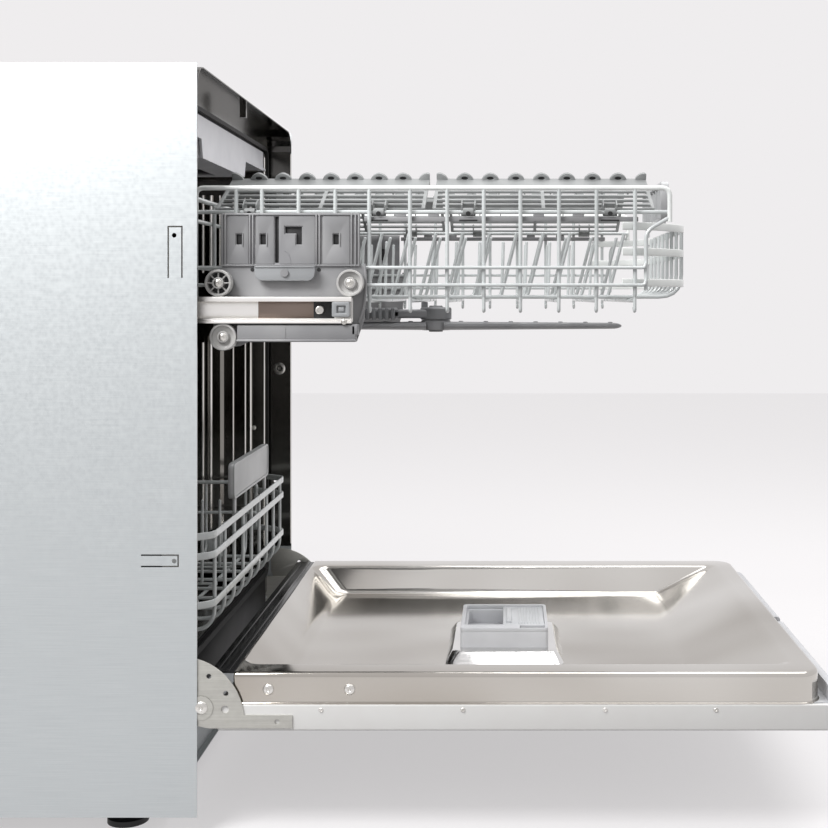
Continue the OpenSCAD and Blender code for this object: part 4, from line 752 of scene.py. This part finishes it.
# a panelled wall with windows, a rolled edge down its front, the bars, and the axles
def carriageParts(wall, hook, split, window, panelZ, panels, hookPanel, posts, beams, bars, curl,
                  leverPivot, clips):
    wide, low, high = window
    face = carriageX - 0.2, carriageX + 1
    openings = [rectangle(f, f + wide, low, high, 0.8) for _, _, f in panels]
    parts = [plate([wall, hook, rectangle(*split, 0.8)] + openings, "x", 256, carriageX, 0.35)]
    # raised panels with soft edges, each with its window's sloped frame
    for f0, f1, f in panels:
        surround = rectangle(f - 0.8, f + wide + 0.8, low - 1, high + 1, 1)
        parts.append(plate([rectangle(f0, f1, *panelZ, 1.2), surround], "x", *face, 0.4))
        parts.append(slab((carriageX, f + 6.9, 623), (carriageX + 1.9, f + 8, 637.5), 0.35))
    hookRoom = [[85, 636], [97, 636], [97, 624], [105, 624], [105, 645], [85, 645]]
    parts.append(plate([rectangle(*hookPanel, *panelZ, 1.2), hookRoom], "x", *face, 0.4))
    # posts and beams between the panels
    for f in posts:
        parts.append(slab((carriageX - 0.3, f, 601), (carriageX + 2.4, f + 1.8, 658.5), 0.5))
    for z in beams:
        parts.append(slab((carriageX - 0.3, 17, z), (carriageX + 2.2, 167, z + 2), 0.6))
    parts.append(sweep(bend(curl, 14), roundedRing(-1.2, 1.2, -1.6, 1.6, 0.7, 3, 0), alongX))
    parts += [slab(*bar) for bar in bars]
    # the seam of the lever's quadrant: an arc with half axes of 7 and 14 mm
    angle = np.linspace(0.1, 1.5, 12)
    seam = np.stack([85 + 7 * np.sin(angle), 604 + 14 * np.cos(angle)], -1)
    parts.append(tube(inSpace(seam, carriageX + 1, "x"), 0.9, alongX, 6))
    # axles and the lever's pivot
    axle = [(0, -1), (4, -1), (4, 17), (3.4, 17.6), (0, 17.6)]
    parts += [turned(axle, (carriageX - 1, f, z), alongX, 24) for f, z in wheelPlaces.values()]
    pivot = [(0, -1), (2.5, -1), (2.5, 11.2), (4.5, 11.2), (4.2, 12.5), (0, 12.6)]
    parts.append(turned(pivot, leverPivot, alongX, 24))
    # clips from the plate up to the shelves' hinge wire
    parts += [slab((243.3, f, 654.8), (245.7, f + 12, 658.7), 0.5) for f in clips]
    return mirrored(parts)


addPiece("rackCarriages", carriageParts(**carriage), "upper_rack", "carriagePolypropylene",
         ["rack_carriages"])

# black discs beside the lever, painted shade for the dark insides of the carriage's wells
wells = {"along": (50.5, 122.5), "z": 597.6, "disc": [(0, 0), (2.1, 0), (2.1, 0.5), (0, 0.5)]}
addPiece("carriageWellShade", mirrored([turned(wells["disc"], (carriageX, f, wells["z"]), alongX, 16)
                                    for f in wells["along"]]), "upper_rack", "blackPolypropylene")

# black blocks behind the windows, painted shade seen through them, each f from, f to, z from and z to
windowBacks = {"x": (253.2, 255.4),
               "extents": [(31.5, 40.5, 622, 639), (57.5, 66.5, 622, 639), (136.5, 145.5, 622, 639),
                           (84, 106, 622, 646.5), (73.5, 80.5, 603, 656)]}
backLow, backHigh = windowBacks["x"]
addPiece("carriageWindowShade", mirrored([slab((backLow, f0, z0), (backHigh, f1, z1), 0.4)
                                    for f0, f1, z0, z1 in windowBacks["extents"]]),
         "upper_rack", "blackPolypropylene")

# wheels, as profiles of (radius, x): a pale running rim with a dished web, or with a hub on spokes
upperWheel = {
    "rim": [(11.2, 263), (13.9, 263), (14.5, 263.7), (14.5, 274.3), (13.9, 275), (12.3, 275), (11.6, 273.4)],
    "web": [(11.4, 272), (7, 270.6), (6.4, 274), (5.6, 275.3), (4.1, 275.3), (4.1, 263)]}
spokedWheel = {
    "rim": upperWheel["rim"],
    "hub": [(4.1, 263), (6.2, 263), (6.2, 274.6), (5.6, 275.3), (4.1, 275.3), (4.1, 263)],
    "spokes": 8, "spokeX": 272, "spokeR": (5.8, 11.8), "spokeD": 1.7}


def dished(f, z, rim, web):
    return mirrored([turned(rim + web + rim[:1], (0, f, z), alongX, 48)])


# each spoke runs from one radius to the other at its own angle
def spoked(f, z, rim, hub, spokes, spokeX, spokeR, spokeD):
    parts = [turned(rim + rim[:1], (0, f, z), alongX, 48), turned(hub, (0, f, z), alongX, 32)]
    for a in np.arange(spokes) * 2 * math.pi / spokes:
        path = [(spokeX, f + r * math.cos(a), z + r * math.sin(a)) for r in spokeR]
        parts.append(tube(path, spokeD, alongX, 8))
    return mirrored(parts)


for word, (f, z) in wheelPlaces.items():
    node = "carriage_wheels_" + word
    parts = spoked(f, z, **spokedWheel) if word == "rear" else dished(f, z, **upperWheel)
    addPiece("carriageWheels-" + word, parts, node, "wheelAcetal", [node])
    addPiece("wheelBolts-" + word, mirrored([screwHead((carriageX + 16.2, f, z), alongX, 4.8)]),
             "upper_rack", "screwZinc")

# a black ring behind the spokes, painted shade for the dark between them
shade = {"x": railX0 + 2, "ring": [(6.4, 0), (11, 0), (11, 1.4), (6.4, 1.4), (6.4, 0)]}
addPiece("wheelShades", mirrored([turned(shade["ring"], (shade["x"], *wheelPlaces["rear"]), alongX, 32)]),
         "carriage_wheels_rear", "blackPolypropylene")

# height adjuster levers: a flat grip with rounded lower corners and a thin step along its top
lever = {"outline": [[54, 601], [120, 601], [119, 590], [114.5, 585.5], [59.5, 585.5], [55, 590]],
         "x": (260.8, 268.6), "step": ((261.4, 54.6, 599.6), (269.6, 119.4, 601))}
leverGrip = bend(lever["outline"] + lever["outline"][:2], 3, 4)[1:-2]
leverParts = [plate([leverGrip], "x", *lever["x"], 0.8), slab(*lever["step"], 0.6, "f")]
addPiece("adjusterLevers", mirrored(leverParts), "adjuster_levers", "leverPolypropylene",
         ["adjuster_levers"])


# a telescopic rail: a rolled C section, open towards the tub's wall, its lower lip grooved,
# carried along f through its stations
def railSection(x, z, wall, lip, stations):
    (x0, x1), (z0, z1) = x, z
    outer = [(x0, z0), (x1, z0), (x1, z0 + 2), (x1 - 0.9, z0 + 2.3), (x1 - 0.9, z0 + 3), (x1, z0 + 3.3),
             (x1, z0 + lip), (x1 - wall, z0 + lip), (x1 - wall, z0 + wall), (x0 + wall, z0 + wall),
             (x0 + wall, z1 - wall), (x1 - wall, z1 - wall), (x1 - wall, z1 - lip), (x1, z1 - lip),
             (x1, z1), (x0, z1)]
    soft = bend(outer + outer[:2], 0.4, 3)[1:-1]
    return loft(np.array([inSpace(soft, f, "f") for f in stations]))


addPiece("upperRails", mirrored([railSection(**rail)]), "upper_rails", "railStainless", ["upper_rails"])

# strips on the rail's web, as f from, f to, thickness and finish: the bright slide, the ball cage
# in brown as a painted reflection, and the black stop
railStrips = {"railSlides": (-300, 58, 0.7, "railStainless"), "railCageReflections": (57.5, 118, 0.65, "cageBrownReflection"),
              "railStops": (117.5, 140, 0.75, "blackPolypropylene")}
webX = railX0 + 1.2
for name, (f0, f1, thick, finish) in railStrips.items():
    strip = slab((webX, f0, 544.9), (webX + thick, f1, 563.1), 0.3, "f")
    addPiece(name, mirrored([strip]), "upper_rails", finish)

# rail end caps: a framed face, the body behind it and a pad in its window
railCap = {"x0": railX0 + 1.5, "x1": railX1 + 0.5, "z0": 546.8, "z1": 562.7, "f0": 139, "f1": 158}


def railEnds(x0, x1, z0, z1, f0, f1):
    window = rectangle(f0 + 5, f1 - 4, z0 + 4, z1 - 4, 1)
    face = plate([rectangle(f0, f1, z0, z1, 1.5), window], "x", x1 - 3, x1, 0.5)
    body = slab((x0, f0 + 0.5, z0 + 0.5), (x1 - 2.6, f1 - 0.5, z1 - 0.5), 0.8)
    pad = slab((x0 + 8, f0 + 7, z0 + 5.5), (x1 - 1.2, f1 - 6, z1 - 5.5), 0.6)
    return mirrored([face, body, pad])


addPiece("railEnds", railEnds(**railCap), "upper_rails", "leverPolypropylene", ["rail_end_caps"])

# a stud in the stop and a screw in the lower lip
stud = {"place": (railX0 + 1.5, 125, 554), "screw": (railX1, 152, 541.3), "screwR": 3.2,
        "profile": [(0, 0), (4.5, 0), (4.5, 8), (3.6, 8.6), (2.2, 8.6), (2.0, 7.6), (0, 7.6)]}
studParts = [turned(stud["profile"], stud["place"], alongX, 24),
             screwHead(stud["screw"], alongX, stud["screwR"])]
addPiece("railStuds", mirrored(studParts), "upper_rails", "screwZinc")

# black bars under the shelves' hinge wire at each shelf clip: painted shadows of the clips
hingeClipShadows = {"x": (246, 247.2), "z": (650.6, 652.6), "along": (45, 186, 284, 439), "half": 10}
(shadowX0, shadowX1), (shadowZ0, shadowZ1) = hingeClipShadows["x"], hingeClipShadows["z"]
clips = [slab((shadowX0, f - hingeClipShadows["half"], shadowZ0), (shadowX1, f + hingeClipShadows["half"], shadowZ1), 0.4)
         for f in hingeClipShadows["along"]]
addPiece("hingeClipShadows", mirrored(clips), "upper_rack", "blackPolypropylene")
print("carriages, shelves and rails made")

# feed duct: profiles of (radius, z) for the head over the spray arm and for the arm's bearing
duct = {"wide": ((-20, -13, 540), (20, 139, 553)), "narrow": ((-17, 178, 541), (17, 235, 552)),
        "ribs": range(139, 187, 8), "hangers": (31, 99, 220.5), "hub": (0, 235, 0),
        "head": [(0, 539), (18.6, 539), (20, 540.5), (20, 553), (18.8, 554.6), (9, 555), (8, 557), (0, 557)],
        "bearing": [(0, 523.6), (8.6, 523.6), (9, 524), (9, 524.9), (8.6, 525.2), (6, 525.2), (6, 540),
                    (0, 540)]}


# a flat moulding under the rack, a ribbed stretch, a narrow one, and hangers up to the hoops
def feedDuct(wide, narrow, ribs, hangers, hub, head, bearing):
    parts = [slab(*wide, 3, "f"), slab(*narrow, 3, "f")]
    for f in ribs:
        parts.append(slab((-22, f, 539), (22, f + 5, 554), 1.4))
        parts.append(slab((-17, f + 3, 541), (17, f + 10, 552), 1))
    parts += [turned(head, hub, alongZ, 36), turned(bearing, hub, alongZ, 28)]
    return parts + [slab((-5, f - 4, 551), (5, f + 4, 561.7), 1) for f in hangers]


addPiece("feedDuct", feedDuct(**duct), "upper_rack", "ductPolypropylene", ["feed_duct"])

# spray arms: the hub's f, the blades' reach and width, their heights, the hub's and bore's radii,
# the jets on each blade, and whether the arm lies along f
sprayArms = {
    "middle_spray_arm": {"f": 235, "reach": 238, "wide": 46, "low": 525.6, "high": 536.6, "hubR": 19,
                         "boreR": 6.05, "jets": 7, "lengthwise": True},
    "lower_spray_arm": {"f": -290, "reach": 240, "wide": 52, "low": 168.5, "high": 178.5, "hubR": 20,
                        "boreR": 8.05, "jets": 6},
    "top_spray_arm": {"f": -290, "reach": 110, "wide": 26, "low": 784, "high": 788.5, "hubR": 11,
                      "boreR": 5.05, "jets": 4}}


# two blades whose half width shrinks by 0.35 and whose height by 0.3 of themselves along the reach,
# and then as the root of 1 - s squared over the tip; across is half times the 0.7th power of the
# cosine, and up is the height times the 0.6th power of the sine, each with its sign kept
def sprayArm(f, reach, wide, low, high, hubR, boreR, jets, lengthwise=False):
    def laid(u, v, z):
        return np.stack([v, f + u, z] if lengthwise else [u, f + v, z], -1)

    middle, rise = (low + high) / 2, (high - low) / 2
    u = np.concatenate([np.linspace(hubR * 0.6, reach * 0.93, 14), reach * np.array([0.96, 0.98, 0.993, 1])])
    t = u / reach
    half = wide / 2 * (1 - 0.35 * t) * np.sqrt(np.clip(1 - ((t - 0.9) / 0.1).clip(0) ** 2, 0.002, 1))
    tall = rise * (1 - 0.3 * t) * np.sqrt(np.clip(1 - ((t - 0.95) / 0.05).clip(0) ** 2, 0.05, 1))
    angle = np.arange(16) * math.pi / 8
    across = half[:, None] * np.sign(np.cos(angle)) * np.abs(np.cos(angle)) ** 0.7
    height = middle + tall[:, None] * np.sign(np.sin(angle)) * np.abs(np.sin(angle)) ** 0.6
    along = np.repeat(u[:, None], 16, 1)
    parts = [loft(laid(side * along, side * across, height)) for side in sides]
    hub = [(boreR, low), (hubR - 1, low), (hubR, low + 1), (hubR, high + 0.6), (hubR - 1.4, high + 2),
           (boreR + 2, high + 2), (boreR, high + 1.6), (boreR, low)]
    parts.append(turned(hub, (0, f, 0), alongZ, 40))
    # jets stand off the blade's middle line
    jet = [(0, -0.6), (3.2, -0.6), (3, 0.5), (2.2, 1), (1.2, 1), (1, 0.3), (0, 0.3)]
    for i in range(1, jets + 1):
        for side in sides:
            u = side * i * (reach - 14) / jets
            top = middle + rise * (1 - 0.3 * abs(u) / reach)
            parts.append(turned(jet, laid(u, side * wide / 8, top), alongZ, 16))
    return parts


for node, sizes in sprayArms.items():
    addPiece(node.replace("_", "-"), sprayArm(**sizes), node, "sprayArmPolypropylene", [node])

# the lower rack: its half width, heights and ends, its wires, and its axles and wheels
lower = {"halfWide": 257, "floor": 190, "top": 308, "front": 1, "rear": -533, "hoops": 9, "longPitch": 52,
         "axleZ": 188.3, "axles": {"front": -109, "rear": -463}}


def lowerWires(halfWide, floor, top, front, rear, hoops, longPitch, axleZ, axles):
    parts = []
    rim = top - 14
    for f in np.linspace(rear + 6, front - 62, hoops):
        hoop = [(-halfWide, f, rim), (-halfWide, f, floor), (halfWide, f, floor), (halfWide, f, rim)]
        parts.append(tube(bend(hoop, 20), wireD, alongF))
    z = floor + overWire
    for x in np.arange(-4, 5) * longPitch:
        path = [(x, rear + 4.2, rim + 1), (x, rear + 4.2, z), (x, front - 2.9, z), (x, front - 2.9, top - 2)]
        parts.append(tube(bend(path, (14, 26), 8), wireD, alongX))
    for side in sides:
        x, inner = side * halfWide, side * (halfWide - 4.2)
        parts.append(tube([(inner, rear, 250), (inner, front - 46, 250)], wireD, alongX))
        sideRim = [(x, rear, floor + 10), (x, rear, rim), (x, front - 46, rim), (x, front - 46, 228)]
        parts.append(tube(bend(sideRim, 9), rimD, alongX))
        # wheel brackets and axles
        near, far = sorted((side * 255, side * 261))
        axle = [(0, 0), (4, 0), (4, 17), (3.4, 17.5), (0, 17.5)]
        for f in axles.values():
            parts.append(slab((near, f - 14, axleZ - 5), (far, f + 14, 220), 1.6))
            parts.append(turned(axle, (side * 260, f, axleZ), (side, 0, 0), 20))
    for z, d in ((rim, rimD), (244, wireD)):
        parts.append(tube([(-halfWide, rear, z), (halfWide, rear, z)], d))
    return parts


lowerBands = {"corners": ((258, -49), (257, -41), (225, lower["front"])), "reach": (3, 12), "height": 8.3,
              "tops": [lower["top"] - drop for drop in (0, 22, 76)]}
addPiece("lowerBasket", lowerWires(**lower) + bands(**lowerBands), "lower_rack", "nylonDippedWire",
         ["lower_basket"])
lowerTines = {"rows": dict.fromkeys((-182, -78, 26, 130), 0), "first": lower["rear"] + 30,
              "last": lower["front"] - 60, "pitch": 24, "foot": 194.5, "tip": 286}
addPiece("lowerTines", tineRows(**lowerTines), "lower_rack", "nylonDippedWire", ["lower_tines"])
lowerHandle = {"front": 0, "low": 325, "high": 368, "thick": 8, "uprightX": 96, "uprightLow": 302}
addPiece("lowerHandle", handlePlate(**lowerHandle), "lower_rack", "handlePolypropylene", ["lower_handle"])

lowerWheel = {
    "rim": [(13.6, 263), (16.4, 263), (17, 263.8), (17, 275.2), (16.4, 276), (14.6, 276), (14, 274.2)],
    "web": [(13.4, 272.6), (8, 271.4), (7.4, 275), (6.6, 276.4), (4.1, 276.4), (4.1, 263)]}
for word, f in lower["axles"].items():
    node = "lower_wheels_" + word
    addPiece("lowerWheels-" + word, dished(f, lower["axleZ"], **lowerWheel), node, "wheelAcetal", [node])
print("spray arms and lower rack made")

# the tub's mouth: hems as x, f and diameter, and beads in its wall as f and diameter,
# which stop short of the band in which the rails and wheels run; both are painted highlight lines
jamb = {"hems": ((296.6, -0.9, 1.8), (284, -35, 2), (279.4, -37.6, 3)), "hemZ": (196, 784),
        "beads": ((-58, 4.4), (-66, 3), (-84, 2.4), (-104, 3), (-117, 6), (-129, 4), (-150, 5)),
        "beadX": 279, "beadZ": ((220, 500), (604, 720))}


def jambLines(hems, hemZ, beads, beadX, beadZ):
    parts = [tube([(x, f, hemZ[0]), (x, f, hemZ[1])], d, alongF, 8) for x, f, d in hems]
    parts += [tube([(beadX, f, low), (beadX, f, high)], d, alongF, 8)
              for f, d in beads for low, high in beadZ]
    return mirrored(parts)


addPiece("jambHems", jambLines(**jamb), "cabinet", "hemHighlightSteel")

# a plug in each jamb, with a screw in the wall behind it
jambPlug = {"place": (297.2, -18, 460), "screw": (280, -53, 372), "screwR": 3.4,
            "profile": [(0, 0.9), (2.2, 1), (2.6, 0.4), (4.2, 0.4), (4.8, 1.1), (7.4, 1.2), (9, 0.7), (9, 0)]}
plugParts = [turned(jambPlug["profile"], jambPlug["place"], (-1, 0, 0), 36),
             screwHead(jambPlug["screw"], (-1, 0, 0), jambPlug["screwR"])]
addPiece("jambPlugs", mirrored(plugParts), "cabinet", "screwZinc")

# a dark apron below the sill, with a rolled top
apron = {"sheet": ((-268, -34.6, 108), (268, -33.4, 166)),
         "roll": ((-268, -36.6, 163.5), (268, -33.4, 166.5))}
addPiece("sillApron", [slab(*apron["sheet"], 0.5, "x"), slab(*apron["roll"], 0.9, "x")],
         "cabinet", "sillPolypropylene")
print("tub mouth made")

# the studio: the floor's two paint colours, the colour and the share of glow that the camera and
# reflections see, so that it is nearly as pale as the backdrop, and the light of the surroundings
stage = {"size": 12, "dark": "#7b797a", "light": "#828081", "seen": "#fbf9fa", "backdrop": "#efedee",
         "glow": 0.6, "ambient": "#f7f6f6", "ambientStrength": 0.79}


# 1 for what the camera sees directly, in a reflection or through glass, else 0
def seenShare(tree):
    path = addNode(tree, "LightPath")
    reflected = addNode(tree, "Math", {"operation": "MAXIMUM"},
                        {0: path.outputs["Is Glossy Ray"], 1: path.outputs["Is Transmission Ray"]})
    return addNode(tree, "Math", {"operation": "MAXIMUM"},
                   {0: path.outputs["Is Camera Ray"], 1: reflected.outputs[0]}).outputs[0]


bpy.ops.mesh.primitive_plane_add(size=stage["size"], location=(0, 0, 0))
floor = bpy.context.object
floor.name = "floor"
floorPaint, tree = newMaterial("floorPaint")
speckle = pattern(tree, (3, 3, 3), Detail=2.0)
floorTone = addNode(tree, "ValToRGB", {"stops": ((0.3, stage["dark"]), (0.7, stage["light"]))},
                    {"Fac": speckle.outputs[0]})
floorSeen = seenShare(tree)
floorColour = addNode(tree, "Mix", {"data_type": "RGBA", 7: srgb(stage["seen"])},
                      {0: floorSeen, 6: floorTone.outputs["Color"]})
floorShader = addNode(tree, "BsdfPrincipled", {"Roughness": 0.9, "Specular IOR Level": 0.1},
                      {"Base Color": floorColour.outputs[2]})
floorGlow = addNode(tree, "Emission", {"Color": srgb(stage["backdrop"]), "Strength": 1.0})
floorShare = addNode(tree, "Math", {"operation": "MULTIPLY", 1: stage["glow"]}, {0: floorSeen})
floorMix = addNode(tree, "MixShader", {}, {0: floorShare.outputs[0], 1: floorShader.outputs[0],
                                           2: floorGlow.outputs[0]})
addNode(tree, "OutputMaterial", links={"Surface": floorMix.outputs[0]})
floor.data.materials.append(floorPaint)

# the world: an even backdrop to the camera, and a softer light to everything else
world = bpy.data.worlds.new("studio")
bpy.context.scene.world = world
world.use_nodes = True
tree = world.node_tree
tree.nodes.clear()
backdrop = addNode(tree, "Background", {"Color": srgb(stage["backdrop"]), "Strength": 1.0})
ambient = addNode(tree, "Background", {"Color": srgb(stage["ambient"]), "Strength": stage["ambientStrength"]})
worldMix = addNode(tree, "MixShader", {}, {0: seenShare(tree), 1: ambient.outputs[0], 2: backdrop.outputs[0]})
addNode(tree, "OutputWorld", links={"Surface": worldMix.outputs[0]})

# lamps, in metres: place, target, the side of their square and their power in watts
lamps = {"keyLamp": {"place": (-0.87, 0.57, 1.42), "target": (-0.3, 0.45, 1.0), "size": 0.6, "watts": 25},
         "topLamp": {"place": (0.1, -0.9, 2.3), "target": (0, -0.3, 0.3), "size": 1.6, "watts": 28}}
for name, lamp in lamps.items():
    data = bpy.data.lights.new(name, "AREA")
    data.shape, data.size, data.size_y = "RECTANGLE", lamp["size"], lamp["size"]
    data.energy = lamp["watts"]
    holder = bpy.data.objects.new(name, data)
    holder.location = lamp["place"]
    aim = Vector(lamp["target"]) - holder.location
    holder.rotation_euler = aim.to_track_quat("-Z", "Y").to_euler()
    bpy.context.collection.objects.link(holder)

# the camera looks along x at the near side panel, level, from beside the open door
view = {"place": (-1.668, -0.2724, 0.568), "lens": 56.55, "sensor": 36, "shift": (-0.1135, -0.1413)}
camera = bpy.data.objects.new("camera", bpy.data.cameras.new("camera"))
camera.location = view["place"]
camera.rotation_euler = (math.pi / 2, 0, -math.pi / 2)
camera.data.lens, camera.data.sensor_width = view["lens"], view["sensor"]
camera.data.shift_x, camera.data.shift_y = view["shift"]
bpy.context.collection.objects.link(camera)
bpy.context.scene.camera = camera
bpy.context.scene.view_settings.view_transform = "Standard"

print("scene made")
